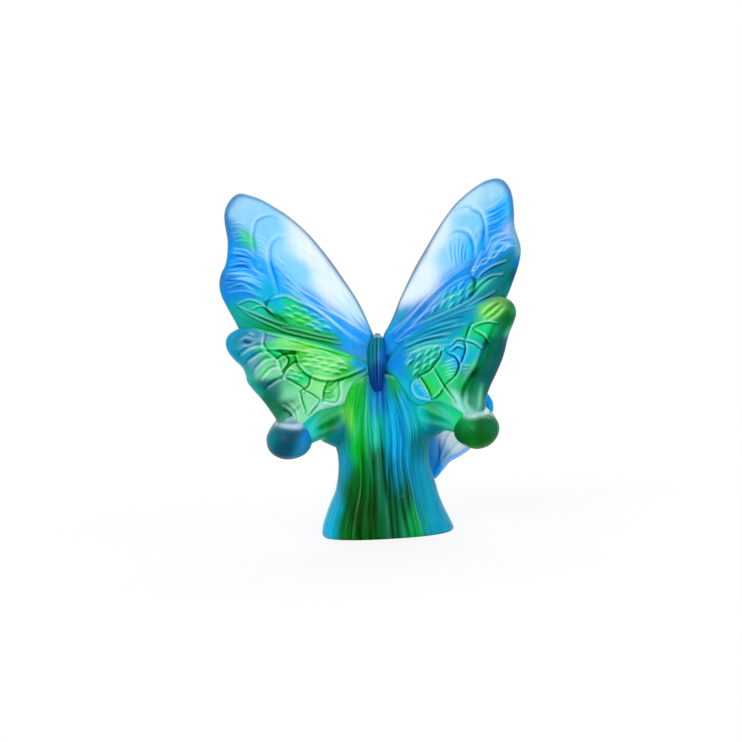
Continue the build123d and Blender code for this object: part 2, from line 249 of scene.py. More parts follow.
class Relief:
    """Worked wax: how far each spot of a face stands out, in millimetres, and how pale or dark the glass is painted
    there, as painted highlight and shade.
    """

    def __init__(self, spots, pools, seed, source=(0, 64)):
        self.spots = spots
        self.colour = paint(run_out(spots, source, seed, 4.0), pools, source)
        self.shade = np.zeros(len(spots))
        self.lift = np.zeros(len(spots))
        chance = np.random.default_rng(seed)
        # Wax that was smoothed by hand keeps a few shallow waves.
        waves, wave_height = 6, 0.05
        for _ in range(waves):
            heading = chance.uniform(0, pi)
            length = chance.uniform(5, 12)
            phase = chance.uniform(0, 2 * pi)
            across = spots @ (cos(heading), sin(heading))
            self.lift += wave_height * np.sin(across * 2 * pi / length + phase)

    def near(self, points, reach):
        """The spots within reach of a line: which they are, how far off, on which side and how far along."""
        line = smooth(points, 6 * len(points))
        low, high = line.min(0) - reach, line.max(0) + reach
        index = np.flatnonzero(((self.spots > low) & (self.spots < high)).all(1))
        spots = self.spots[index]
        best = np.full(len(spots), 1e9)
        side = np.zeros(len(spots))
        along = np.zeros(len(spots))
        for place, (start, end) in enumerate(zip(line, line[1:])):
            step = end - start
            to = spots - start
            share = np.clip(to @ step / (step @ step), 0, 1)
            off = to - share[:, None] * step
            distance = np.hypot(off[:, 0], off[:, 1])
            closer = distance < best
            best[closer] = distance[closer]
            side[closer] = np.sign(step[0] * to[closer, 1] - step[1] * to[closer, 0])
            along[closer] = (place + share[closer]) / (len(line) - 1)
        return index, best, side, along

    def crest(self, lines, width, rise, painted_light):
        """Rounded ridges that thin out at both ends, painted paler as a highlight; a negative rise and painted
        light make a groove with painted shade.
        """
        for points in lines:
            index, distance, _, along = self.near(points, 3 * width)
            swell = np.exp(-((distance / width) ** 2)) * np.sin(pi * np.clip(along, 0.02, 0.98)) ** 0.4
            self.lift[index] += rise * swell
            self.shade[index] += painted_light * swell

    def fold(self, lines, width, rise, painted_light, undercut_shade, side=1):
        """A ridge whose foot is undercut on one side, as where one leaf of wax overlaps the next: a painted
        highlight on the ridge and painted shade in the undercut.
        """
        for points in lines:
            index, distance, hand, along = self.near(points, 4 * width)
            off = distance * hand * side
            ends = np.sin(pi * np.clip(along, 0.02, 0.98)) ** 0.3
            ridge = np.exp(-((off / width) ** 2)) * ends
            gap = np.exp(-(((off - 1.5 * width) / (0.8 * width)) ** 2)) * ends
            self.lift[index] += rise * (ridge - 0.9 * gap)
            self.shade[index] += painted_light * ridge - undercut_shade * gap

    def wash(self, tint, lines, width, strength):
        """A band of another colour that has run along each line."""
        for points in lines:
            index, distance, _, along = self.near(points, 2.5 * width)
            cover = strength * np.exp(-((distance / width) ** 2)) * np.sin(pi * np.clip(along, 0.03, 0.97)) ** 0.5
            self.colour[index] += (np.array(linear(TINTS[tint])) - self.colour[index]) * cover[:, None]

    def fringe(self, first, last, count, width, rise, painted_light, bow=0.0):
        """Hand-cut strokes from one line to another, bowed to their left by a share of their length, each with
        painted light as on a crest: a highlight where it is positive, shade where it is negative.
        """
        starts, ends = smooth(first, count), smooth(last, count)
        for number, (start, end) in enumerate(zip(starts, ends)):
            step = end - start
            start = start + step * 0.08 * (1 + sin(3.7 * number + 1))
            end = end - step * 0.12 * (1 + sin(2.3 * number))
            middle = (start + end) / 2 + bow * (1 + 0.4 * sin(5 * number)) * np.array([-step[1], step[0]])
            strength = 0.8 + 0.25 * sin(4.1 * number + 2)
            self.crest(
                [[start, middle, end]],
                width * (1 + 0.2 * sin(1.9 * number)), rise * strength, painted_light * strength,
            )

    def pad(self, centre, length, height, lean, scale, glint, rise, painted_light):
        """A raised oval of overlapping scales, each a short fold with a painted highlight along the glint and a
        crease of painted shade below it.
        """
        scaled_part = 0.84
        turn, heading = radians(lean), radians(glint)
        ahead, up = np.array([cos(turn), sin(turn)]), np.array([-sin(turn), cos(turn)])
        to = self.spots - centre
        oval = np.hypot(to @ ahead / (length / 2), to @ up / (height / 2))
        self.lift += 0.55 * rise * (1 - eased(oval, scaled_part, 1.0))
        long, high = scale
        chance = np.random.default_rng(round(10 * length))
        tip = 0.4 * long * np.array([cos(heading), sin(heading)])
        aside = np.array([-sin(heading), cos(heading)])
        for row in range(-4, 5):
            for column in range(-6, 7):
                u = (column + 0.5 * (row % 2) + chance.uniform(-0.12, 0.12)) * long
                v = (row + chance.uniform(-0.12, 0.12)) * high
                strength = chance.uniform(0.6, 1.1)
                if np.hypot(u / (length / 2), v / (height / 2)) < scaled_part:
                    spot = centre + u * ahead + v * up
                    below = spot - 0.34 * high * aside
                    self.crest(
                        [[spot - tip, spot + 0.14 * high * aside, spot + tip]],
                        0.16 * high, 0.6 * rise * strength, painted_light * strength,
                    )
                    self.crest([[below - tip, below + tip]], 0.17 * high, -0.3 * rise, -0.5 * painted_light)


def finished(colour, shade):
    """Colour with painted light: crests painted paler as a highlight, and creases painted deeper and darker as
    shade.
    """
    # The share of painted highlight and of painted shade at each spot; deep is the painted shade.
    painted_light = np.clip(shade, 0, 1)[:, None]
    deep = np.clip(-shade, 0, 1)[:, None]
    highlight_colour = 0.72 * colour**0.42 + 0.28 * np.array(linear("#f2f8ff"))
    return (colour + (highlight_colour - colour) * painted_light) ** (1 + 1.5 * deep) * (1 - 0.3 * deep)


def skin(name, rings, colours, material, ends=None):
    """A closed mesh through rings of equally many spots, with a fan of faces on the spot at each end."""
    count, around = rings.shape[:2]
    start, end = ends or (rings[0].mean(0), rings[-1].mean(0))
    spots = np.vstack([rings.reshape(-1, 3), start, end]) * mm
    ring = np.arange(count - 1)[:, None] * around
    here = np.arange(around)[None, :]
    after = np.roll(here, -1)
    quads = np.stack([ring + here, ring + after, ring + around + after, ring + around + here], axis=-1)
    last = (count - 1) * around
    faces = quads.reshape(-1, 4).tolist()
    faces += [(count * around, int(b), int(a)) for a, b in zip(here[0], after[0])]
    faces += [(count * around + 1, int(last + a), int(last + b)) for a, b in zip(here[0], after[0])]
    mesh = bpy.data.meshes.new(name)
    mesh.from_pydata(spots.tolist(), [], faces)
    tinted = mesh.color_attributes.new("glass_colour", "FLOAT_COLOR", "POINT")
    painted = np.vstack([colours, colours[[0, -1]]])
    tinted.data.foreach_set("color", np.hstack([painted, np.ones((len(painted), 1))]).ravel())
    mesh.polygons.foreach_set("use_smooth", [True] * len(mesh.polygons))
    mesh.materials.append(material)
    mesh.update()
    piece = bpy.data.objects.new(name, mesh)
    bpy.context.collection.objects.link(piece)
    return piece


def swept(path, widths, depths, across, count, around):
    """Oval sections along a path: their spots, outward directions, and each spot's share along and turn."""
    line = smooth(path, count)
    share = np.linspace(0, 1, count)
    marks = np.linspace(0, 1, len(widths))
    half_width = np.interp(share, marks, widths)
    half_depth = np.interp(share, marks, depths)
    kernel = np.ones(5) / 5
    half_width[2:-2] = np.convolve(half_width, kernel, "valid")
    half_depth[2:-2] = np.convolve(half_depth, kernel, "valid")
    ahead = np.gradient(line, axis=0)
    ahead /= np.linalg.norm(ahead, axis=1)[:, None]
    wide = np.array(across, float) - (ahead @ across)[:, None] * ahead
    wide /= np.linalg.norm(wide, axis=1)[:, None]
    deep = np.cross(ahead, wide)
    turn = np.linspace(0, 2 * pi, around, endpoint=False)
    c, s = np.cos(turn)[None, :, None], np.sin(turn)[None, :, None]
    w, d = half_width[:, None, None], half_depth[:, None, None]
    rings = line[:, None, :] + w * c * wide[:, None, :] + d * s * deep[:, None, :]
    outward = c / w * wide[:, None, :] + s / d * deep[:, None, :]
    outward /= np.linalg.norm(outward, axis=2)[:, :, None]
    return rings, outward, share, turn


def cast_glass(name, clearest, depth, roughness, grain_turn=0, bubbles=0.0, streak=0.14):
    """Kiln-cast glass with a satin skin: soft, deep colour in streaks, fine bubbles and no sharp gloss.

    The clearest value says how much light passes through the palest glass; the darkest lets none through. Depth
    says how much light is scattered below the skin. Bubbles and the skin's grain are drawn coarser than they are.
    """
    streak_width, streak_depth, streak_length = 2.2 * mm, 6 * mm, 16 * mm
    bubble_spacing = 2.6 * mm
    silk_grain = 0.9 * mm
    material = bpy.data.materials.new(name)
    material.use_nodes = True
    tree = material.node_tree
    tree.nodes.clear()
    place = add_node(tree, "TexCoord")
    tint = add_node(tree, "Attribute", attribute_name="glass_colour")
    drawn = add_node(
        tree,
        "Mapping",
        {
            "Vector": place.outputs["Object"],
            "Rotation": (0, radians(grain_turn), 0),
            "Scale": (1 / streak_width, 1 / streak_depth, 1 / streak_length),
        },
    )
    streaks = add_node(
        tree, "TexNoise",
        {"Vector": drawn.outputs[0], "Scale": 1.0, "Detail": 4.0, "Roughness": 0.6},
    )
    strength = add_node(
        tree, "MapRange",
        {"Value": streaks.outputs[0], 1: 0.3, 2: 0.7, 3: 1 - streak, 4: 1 + streak},
    )
    streaked = add_node(tree, "VectorMath", operation="SCALE")
    tree.links.new(tint.outputs["Color"], streaked.inputs[0])
    tree.links.new(strength.outputs[0], streaked.inputs["Scale"])
    cells = add_node(
        tree,
        "TexVoronoi",
        {"Vector": place.outputs["Object"], "Scale": 1 / bubble_spacing, "Randomness": 1.0},
    )
    bubble = add_node(tree, "MapRange", {"Value": cells.outputs["Distance"], 1: 0.04, 2: 0.08, 3: 0.8, 4: 0.0})
    kept = add_node(tree, "Math", {0: cells.outputs["Color"], 1: bubbles}, operation="LESS_THAN")
    shown = add_node(tree, "Math", {0: bubble.outputs[0], 1: kept.outputs[0]}, operation="MULTIPLY")
    mixed_colour = add_node(tree, "Mix", data_type="RGBA")
    tree.links.new(shown.outputs[0], mixed_colour.inputs[0])
    tree.links.new(streaked.outputs[0], mixed_colour.inputs[6])
    mixed_colour.inputs[7].default_value = (*linear("#74d2d2"), 1)
    paleness = add_node(tree, "RGBToBW", {"Color": mixed_colour.outputs[2]})
    clearness = add_node(tree, "MapRange", {"Value": paleness.outputs[0], 1: 0.3, 2: 0.8, 3: 0.0, 4: clearest})
    grain = add_node(
        tree,
        "TexNoise",
        {"Vector": place.outputs["Object"], "Scale": 1 / silk_grain, "Detail": 1.0, "Roughness": 0.5},
    )
    silk = add_node(tree, "MapRange", {"Value": grain.outputs[0], 3: roughness - 0.06, 4: roughness + 0.06})
    bump = add_node(tree, "Bump", {"Strength": 0.05, "Distance": 0.1 * mm, "Height": grain.outputs[0]})
    glass = add_node(
        tree,
        "BsdfPrincipled",
        {
            "Base Color": mixed_colour.outputs[2],
            "Roughness": silk.outputs[0],
            "IOR": 1.5,
            "Specular IOR Level": 0.05,
            "Transmission Weight": clearness.outputs[0],
            "Subsurface Weight": depth,
            "Subsurface Radius": (1.0, 1.0, 1.0),
            "Subsurface Scale": 1.5 * mm,
            "Normal": bump.outputs[0],
        },
    )
    add_node(tree, "OutputMaterial", {"Surface": glass.outputs[0]})
    return material


# Deep blue glass: dark and soft, and paler only on its ridges, where a highlight is painted into the colour.
body_glass = cast_glass("deep_blue_satin_glass", clearest=0.2, depth=0.5, roughness=0.30)
body_pools = [
    ("petrol", [(-2.2, 62, 3)]),
    ("steel", [(0.2, 61, 1)]),
    ("royal", [(2.6, 60, 2.5)]),
    ("navy", [(0.5, 55, 2.5), (-0.5, 51, 3)]),
]
rings, outward, share, turn = swept(
    [
        (-0.7, -8.4, 49.0), (-0.9, -7.6, 52.0), (-0.7, -5.8, 56.5),
        (-0.4, -3.2, 61.5), (0.0, -1.0, 65.4), (0.2, 0.0, 67.4),
    ],
    [1.3, 2.5, 3.0, 3.3, 3.5, 3.4, 2.9, 1.0],
    [0.9, 2.8, 4.6, 5.6, 5.8, 5.2, 4.2, 1.4],
    (1, 0, 0),
    count=150,
    around=200,
)
ridges = np.zeros(turn.shape)
for angle, width, rise in (
    (0.45, 0.22, 0.3), (0.95, 0.16, 0.12), (1.38, 0.1, 0.5), (1.72, 0.1, 0.42), (2.2, 0.2, 0.15),
    (2.75, 0.2, 0.3), (4.2, 0.3, 0.3), (5.2, 0.3, 0.3),
):
    for hand in (1, -1):
        off = np.angle(np.exp(1j * (turn - hand * angle)))
        ridges += rise * np.exp(-((off / width) ** 2)) * (hand > 0 or angle < 4)
fade = np.sin(pi * share) ** 0.5
lift = fade[:, None] * (ridges[None, :] - 0.25)
rings = rings + outward * lift[:, :, None]
spots = rings.reshape(-1, 3)[:, [0, 2]]
# Painted light: ridges are painted paler as highlights and the hollows between them darker as shade.
colours = finished(paint(spots, body_pools), ((lift - 0.16) * 0.8).ravel())
body = skin("body_glass_piece", rings, colours, body_glass)
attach(body, "root")
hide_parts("body")


# Trunk: a solid column cast in one with its flared foot. The colours ran down it as the glass melted,
# and its front was drawn into uneven flutes; the foot is ground flat.
# Streaked glass: the deepest of all, with fine bubbles, so that its colours seem to hang inside it.
trunk_glass = cast_glass("green_and_blue_streaked_glass", clearest=0.2, depth=0.6, roughness=0.30, bubbles=0.25)
trunk_left = [
    (0, 22.6), (3.4, 22.0), (7.2, 20.6), (11.3, 18.8), (14.6, 17.2), (18.8, 16.1), (23.5, 15.5), (27.3, 15.6),
    (31, 16.2), (36, 16.4), (41, 15.8), (44.5, 14.9), (47.5, 13.9), (50.5, 13.0), (54.6, 11.3),
]
trunk_right = [
    (0, 22.7), (4.3, 20.8), (8.2, 19.1), (12.1, 17.8), (16.4, 16.8), (20.3, 15.8), (24.1, 15.2), (28.4, 15.5),
    (31.3, 16.4), (36, 16.6), (41, 15.0), (44.5, 13.2), (47.5, 11.5), (50.3, 10.4), (54.6, 8.0),
]
trunk_depth = [
    (0, 16.4), (4, 15.7), (9, 14.4), (14, 13.3), (20, 12.6),
    (27, 12.4), (36, 11.4), (44, 9.6), (50, 8.4), (54.6, 7.0),
]
trunk_crest = [
    (-16, 43.5), (-12.9, 47.5), (-12.2, 51.0), (-11.2, 52.3), (-7.9, 52.7), (-3.5, 54.1), (0, 54.4), (2.1, 54.3),
    (6.3, 52.5), (8.6, 50.6), (9.6, 47.6), (15.7, 43.5),
]
trunk_pools = [
    ("grass", [(-9, 48, 3.5), (-9, 31, 3.5)]),
    ("lime", [(-10.5, 41, 2.5)]),
    ("spring", [(-7, 40, 3)]),
    ("petrol", [(-14, 35, 3.5), (12.5, 31, 3.5)]),
    ("sea", [(-13.5, 26, 3), (-2, 44, 3), (4, 21, 3), (13, 21, 4), (16, 11, 4.5), (19, 2, 5)]),
    ("cyan", [(-18, 11, 3), (-20.5, 3, 3.5), (5, 37, 4), (5, 29, 3), (9, 45, 3.5)]),
    ("bottle", [(-9, 19, 3.5), (-14, 3, 4)]),
    ("forest", [(-10, 11, 4), (-5, 4, 4)]),
    ("pine", [(-3, 25, 3), (-1, 15, 3.5), (6, 12, 3.5), (1.5, 4, 4)]),
    ("royal", [(0, 47, 2.5)]),
    ("navy", [(0, 51, 2.5)]),
    ("jade", [(-2.5, 36, 3)]),
    ("lagoon", [(11.5, 39, 3)]),
    ("emerald", [(5, 50.5, 2.5), (9, 4, 4)]),
]
around = 560
turn = np.linspace(0, 2 * pi, around, endpoint=False)
foot_edge = 1.3
foot_half_width = 22.6
shoulder_height = 43.0
trunk_height = 54.6
flute_strokes = 480
levels = [(0.0, 0.90), (0.0, 0.965)]
for angle in np.linspace(0.2, pi / 2, 7):
    levels.append((foot_edge * (1 - cos(angle)), 1 - foot_edge / foot_half_width * (1 - sin(angle))))
levels += [(height, 1.0) for height in np.linspace(foot_edge + 0.25, trunk_height, 230)]
heights = np.array([level[0] for level in levels])
draw_in = np.array([level[1] for level in levels])


def profile(pairs):
    """A size of the trunk at each level, from a smooth curve through the heights and sizes given."""
    line = smooth(pairs, 300)
    return np.interp(heights, line[:, 0], line[:, 1])


left, right, deep = profile(trunk_left), profile(trunk_right), profile(trunk_depth)
c, s = np.cos(turn)[None, :], np.sin(turn)[None, :]
# A power below 1 makes the oval sections a little squarer.
squared = 2 / 2.35
wide = np.where(c < 0, left[:, None], right[:, None]) * np.sign(c) * np.abs(c) ** squared
rings = np.stack(
    [
        wide * draw_in[:, None],
        deep[:, None] * np.sign(s) * np.abs(s) ** squared * draw_in[:, None],
        np.repeat(heights[:, None], around, axis=1),
    ],
    axis=-1,
)
chance = np.random.default_rng(11)
flutes = np.zeros(rings.shape[:2])
veils = np.zeros(rings.shape[:2])
drawn = np.zeros(rings.shape[:2])
column = np.repeat(heights[:, None], around, axis=1)
for _ in range(flute_strokes):
    angle = chance.uniform(0, 2 * pi)
    drift = chance.uniform(-0.002, 0.002)
    sway = chance.uniform(0, 0.005)
    phase = chance.uniform(0, 2 * pi)
    width = chance.uniform(0.007, 0.026)
    middle, reach = chance.uniform(2, 50), chance.uniform(7, 18)
    line = angle + drift * (column - 27) + sway * np.sin(column / 7 + phase)
    off = np.angle(np.exp(1j * (turn[None, :] - line)))
    stroke = np.exp(-((off / width) ** 2)) * np.exp(-(((column - middle) / reach) ** 4))
    flutes += chance.uniform(-0.11, 0.11) * stroke
    veils += chance.uniform(-0.6, 0.2) * stroke
    drawn += chance.uniform(-7, 7) * stroke
strongest_veil = 0.6
veils = strongest_veil * np.tanh(veils / strongest_veil)
body_of_trunk = eased(column, 0.8, 5) * (1 - eased(column, 51.5, 54.4))
outward = np.stack([c / left.mean() + 0 * column, s / deep.mean() + 0 * column, 0 * column], axis=-1)
outward /= np.linalg.norm(outward, axis=2)[:, :, None]
rings += outward * (flutes * body_of_trunk)[:, :, None]
crest = smooth(trunk_crest, 200)
top = np.interp(rings[:, :, 0], crest[:, 0], crest[:, 1])
rings[:, :, 2] *= 1 + (top / trunk_height - 1) * eased(column, shoulder_height, trunk_height)
# The top is drawn in to a low dome along the crest line, under the wings.
caps = []
for inward in np.linspace(0.08, 1.25, 16):
    ring = rings[-1].copy()
    ring[:, :2] *= cos(inward)
    ring[:, 2] = np.interp(ring[:, 0], crest[:, 0], crest[:, 1]) + 0.5 * sin(inward)
    caps.append(ring)
rings = np.concatenate([rings, np.array(caps)])
spots = rings.reshape(-1, 3)[:, [0, 2]].copy()
# Towards the sides a front view squeezes the strokes together, so they are calmed there.
calm = 1 - eased(np.abs(spots[:, 0]) / np.repeat(np.r_[left, [9] * len(caps)], around), 0.35, 0.9)
drawn = np.concatenate([drawn, np.zeros((len(caps), around))]).ravel() * (0.25 + 0.75 * calm)
spots[:, 1] += drawn
spots[:, 0] += 0.12 * drawn
shade = np.concatenate([veils, np.zeros((len(caps), around))]).ravel() * (0.15 + 0.85 * calm)
# A painted highlight along the trunk's top edge, above the shoulders.
rim = np.exp(-(((spots[:, 1] - np.interp(spots[:, 0], crest[:, 0], crest[:, 1]) + 0.2) / 0.6) ** 2))
shade += 0.3 * rim * (spots[:, 1] > shoulder_height)
colours = finished(paint(spots, trunk_pools, (0, 500), 0.55), shade)
trunk = skin("trunk_glass_piece", rings, colours, trunk_glass, ((0, 0, 0), (0, 0, trunk_height + 0.3)))
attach(trunk, "root")
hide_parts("trunk")


# Forewings: two cupped blue plates, milky and pale along their upper edges, with their veins,
# cells and scale pads cut in the wax. They were set into the wax body's sides and cast with it.
class Cup:
    """The sphere that a wing's middle surface lies on, hollow towards the viewer."""

    def __init__(self, reach, depth, offset, height, back):
        self.radius = (reach**2 + depth**2) / (2 * depth)
        self.centre = np.array([offset, back - self.radius, height])

    def middle(self, spots):
        """The spots of a front view, set on the sphere, and the sphere's outward directions there."""
        off = spots - self.centre[[0, 2]]
        back = self.centre[1] + np.sqrt(self.radius**2 - (off**2).sum(1))
        placed = np.stack([spots[:, 0], back, spots[:, 1]], axis=1)
        return placed, (placed - self.centre) / self.radius


def cupped(name, outline, heart, cup, thickness, rim, pools, rim_pools, work, material, curl=None):
    """A wing or leaf: rings from its heart out to the rounded rim on the hollow face, and home on the back."""
    around, front, back, edge = 620, 150, 46, 9
    back_lift, back_shade = 0.35, 0.4
    margin_strength, margin_width = 0.9, 1.2
    line = smooth(outline, around, closed=True)
    heart = np.array(heart, float)
    arms = line - heart
    lengths = np.linalg.norm(arms, axis=1)[:, None]
    insets, halves, faces = [], [], []
    # The hollow face, the rounded rim and the back, one ring of spots after another
    for share in np.linspace(0.03, 1, front, endpoint=False):
        insets.append(lengths - (lengths - rim) * share)
        halves.append(1.0)
        faces.append(1)
    for angle in np.linspace(0, pi, 2 * edge + 1):
        insets.append(rim * (1 - sin(angle)) + 0 * lengths)
        halves.append(abs(cos(angle)))
        faces.append(1 if angle <= pi / 2 else -1)
    for share in np.linspace(1, 0.03, back + 1)[1:]:
        insets.append(lengths - (lengths - rim) * share)
        halves.append(1.0)
        faces.append(-1)
    spots = np.concatenate([heart + arms * (1 - inset / lengths) for inset in insets])
    half = np.repeat(halves, around)
    face = np.repeat(faces, around)
    inset = np.concatenate(insets).ravel()
    relief = Relief(spots, pools, len(name))
    work(relief)
    lift = np.where(face > 0, relief.lift, back_lift * relief.lift) * half
    placed, outward = cup.middle(spots)
    placed = placed - outward * (face * half * thickness / 2)[:, None]
    placed -= outward * (face * lift)[:, None]
    if curl:
        placed[:, 1] -= curl(spots)
    # The back keeps a weaker share of the painted highlights and shade.
    colours = finished(relief.colour, np.where(face > 0, relief.shade, back_shade * relief.shade))
    margin = margin_strength * np.exp(-((inset / margin_width) ** 2))[:, None]
    colours += (paint(spots, rim_pools) - colours) * margin
    return skin(name, placed.reshape(len(insets), around, 3), colours, material)


# Clear blue glass: silky and milky, with a little light passing through and hardly a streak.
forewing_glass = cast_glass("clear_blue_cast_glass", clearest=0.12, depth=0.5, roughness=0.34, streak=0.04)
forewing_thickness = 4.6
forewing_rim = 1.7


def left_forewing_work(relief):
    relief.crest(
        [
            [(-33.5, 93), (-29.5, 89), (-26, 84.5), (-20.5, 80.5), (-15, 76), (-7.5, 70.5), (-2, 67)],
            [(-33, 90.5), (-30, 87), (-26, 83), (-21.5, 79), (-15.5, 75.5), (-9.5, 72), (-3.5, 67.5)],
            [(-32, 86), (-27.5, 83), (-22.5, 79), (-17, 74.5), (-11.5, 69.5), (-4.5, 64)],
            [(-29, 83.5), (-24, 79.5), (-18.5, 75), (-13, 70), (-6, 64)],
        ],
        0.38, 0.4, 0.5,
    )
    relief.crest([[(-29, 101), (-23.5, 98), (-18, 93.5), (-14, 88)]], 0.8, 0.2, 0.3)
    relief.crest(
        [
            [(-39.5, 98), (-40, 102), (-39.5, 105), (-38.5, 108), (-36.5, 109), (-34, 109.5), (-31.5, 108.5)],
            [(-32.5, 83.5), (-33.5, 89), (-34.5, 93), (-34.5, 97), (-34, 99.5), (-32, 101.5), (-29.5, 101.5)],
        ],
        0.4, -0.3, -0.28,
    )
    relief.crest(
        [
            [(-33.5, 83.5), (-34.8, 89), (-35.8, 93), (-36, 97), (-35, 100.5), (-32.5, 102.8), (-29, 103)],
            [(-40.5, 98), (-41.1, 102), (-40.6, 105.5), (-39, 109), (-36.5, 110.3), (-33, 110.5)],
        ],
        0.6, 0.35, 0.35,
    )
    relief.fold(
        [[(-37, 81), (-33, 82), (-30, 82), (-26.5, 80), (-22.5, 78), (-18, 75), (-14, 71.5), (-11.5, 69)]],
        0.5, 0.5, 0.6, 0.15, -1,
    )
    relief.crest([[(-34.8, 81.9), (-37, 80.1), (-36.6, 77.3), (-32.9, 74.8), (-30.6, 73.1)]], 0.6, -0.8, -0.75)
    relief.fold(
        [
            [(-47, 80.5), (-44, 81.5), (-42, 81.5), (-39, 80), (-36, 77.5), (-33, 74.5)],
            [(-47, 80), (-43.5, 78), (-39.5, 76), (-34.5, 73.5), (-30.5, 72)],
            [(-46, 79), (-41.5, 75.5), (-36, 72.5), (-31, 70), (-25, 68), (-17.5, 66), (-12.5, 64.5)],
            [(-42, 78.5), (-39.5, 79.3), (-37, 78.5), (-35, 76.3)],
            [(-32, 71.5), (-26, 70), (-20, 68), (-14, 66.5)],
        ],
        0.36, 0.45, 0.45, 0.28, -1,
    )
    relief.fringe(
        [(-48.5, 100), (-49.6, 95), (-51, 90), (-51, 85)],
        [(-39, 95.5), (-37.5, 91), (-35.8, 87.5), (-38.5, 82.5)],
        11, 0.3, 0.35, 0.6, 0.1,
    )
    relief.fringe(
        [(-49.2, 97.5), (-50.6, 92), (-51, 87)], [(-38, 93), (-37, 88.5), (-37.5, 84.5)], 8, 0.4, -0.4, -0.5, 0.1
    )
    relief.fringe([(-48, 108), (-48, 102)], [(-42, 107.5), (-40.5, 101)], 6, 0.35, 0.3, 0.4, 0.1)
    relief.fringe([(-39.3, 104), (-39, 97)], [(-35.8, 101.5), (-35, 93.5)], 5, 0.35, 0.3, 0.4, 0.05)
    relief.fringe([(-33.5, 97), (-32.5, 88)], [(-29, 92), (-28, 85.5)], 4, 0.35, 0.3, 0.35, -0.08)
    relief.wash("bottle", [[(-48, 76), (-42.5, 73.5), (-35, 70), (-27, 67.8), (-19, 66.4), (-12.5, 65)]], 1.3, 0.55)
    relief.wash("pine", [[(-44, 77.5), (-38.5, 74.5), (-32, 71.7), (-26, 69.6)]], 0.7, 0.6)
    relief.pad((-23.5, 74.0), 24, 6.4, -28, (3.6, 1.9), -20, 0.45, 0.7)


left_forewing_pools = [
    ("mist", [(-42, 115, 5)]),
    ("sky", [(-35, 105, 5), (-26, 91, 4)]),
    ("frost", [(-22, 98, 5.5), (-14, 85, 5.5)]),
    ("ice", [(-8, 76, 3)]),
    ("cobalt", [(-48, 105, 3), (-50, 86, 4)]),
    ("spring", [(-43, 103, 2), (-28, 78, 3)]),
    ("vivid", [(-46, 96, 3.5), (-22, 79, 3.5), (-14, 72, 3.5), (-8, 67, 3.5)]),
    ("air", [(-43, 90, 2.5)]),
    ("azure", [(-33, 89, 3.5)]),
    ("cyan", [(-36, 83, 3.5)]),
    ("teal", [(-47, 77, 3.5)]),
    ("jade", [(-40, 78, 3)]),
    ("emerald", [(-36, 72.5, 3), (-28, 69, 3), (-18, 67, 3)]),
    ("leaf", [(-25, 73, 2.5)]),
    ("aqua", [(-18, 71, 2)]),
]
left_forewing_rims = [
    ("steel", [(-46, 116, 3), (-36, 115, 4), (-49, 106, 3)]),
    ("shadow", [(-27, 108, 4), (-20, 101, 4), (-13, 91, 4), (-8, 82, 4), (-5, 76, 3)]),
    ("slate", [(-3, 71, 3)]),
    ("cobalt", [(-49, 98, 4), (-51, 84, 4)]),
    ("steel", [(-51, 89, 2.5)]),
    ("teal", [(-48, 76, 4), (-40, 70, 4), (-25, 63, 6)]),
]
left_forewing = cupped(
    "left_forewing_glass_piece",
    [
        (-1.2, 66.5), (-1.9, 69.3), (-5.5, 78.3), (-10.4, 86.9),
        (-15.4, 94.8), (-21.2, 102.6), (-27.0, 108.5), (-32.2, 112.5),
        (-37.1, 115.6), (-42.1, 117.4), (-44.6, 117.0), (-46.9, 114.8),
        (-48.4, 111.8), (-48.7, 108.0), (-48.2, 102.5),
        (-48.5, 97.9), (-49.4, 94.0), (-51.0, 91.0), (-51.8, 87.6), (-51.4, 84.0), (-49.7, 79.7), (-47.6, 75.3),
        (-45.5, 71.0), (-43, 69.4), (-37, 67.6), (-29, 65.2), (-20, 62.5), (-12, 59), (-4.5, 56.5), (-1.2, 60),
    ],
    (-26, 84),
    Cup(reach=52, depth=12, offset=-10, height=92, back=5),
    forewing_thickness,
    forewing_rim,
    left_forewing_pools,
    left_forewing_rims,
    left_forewing_work,
    forewing_glass,
)
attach(left_forewing, "root")
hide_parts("left_forewing")


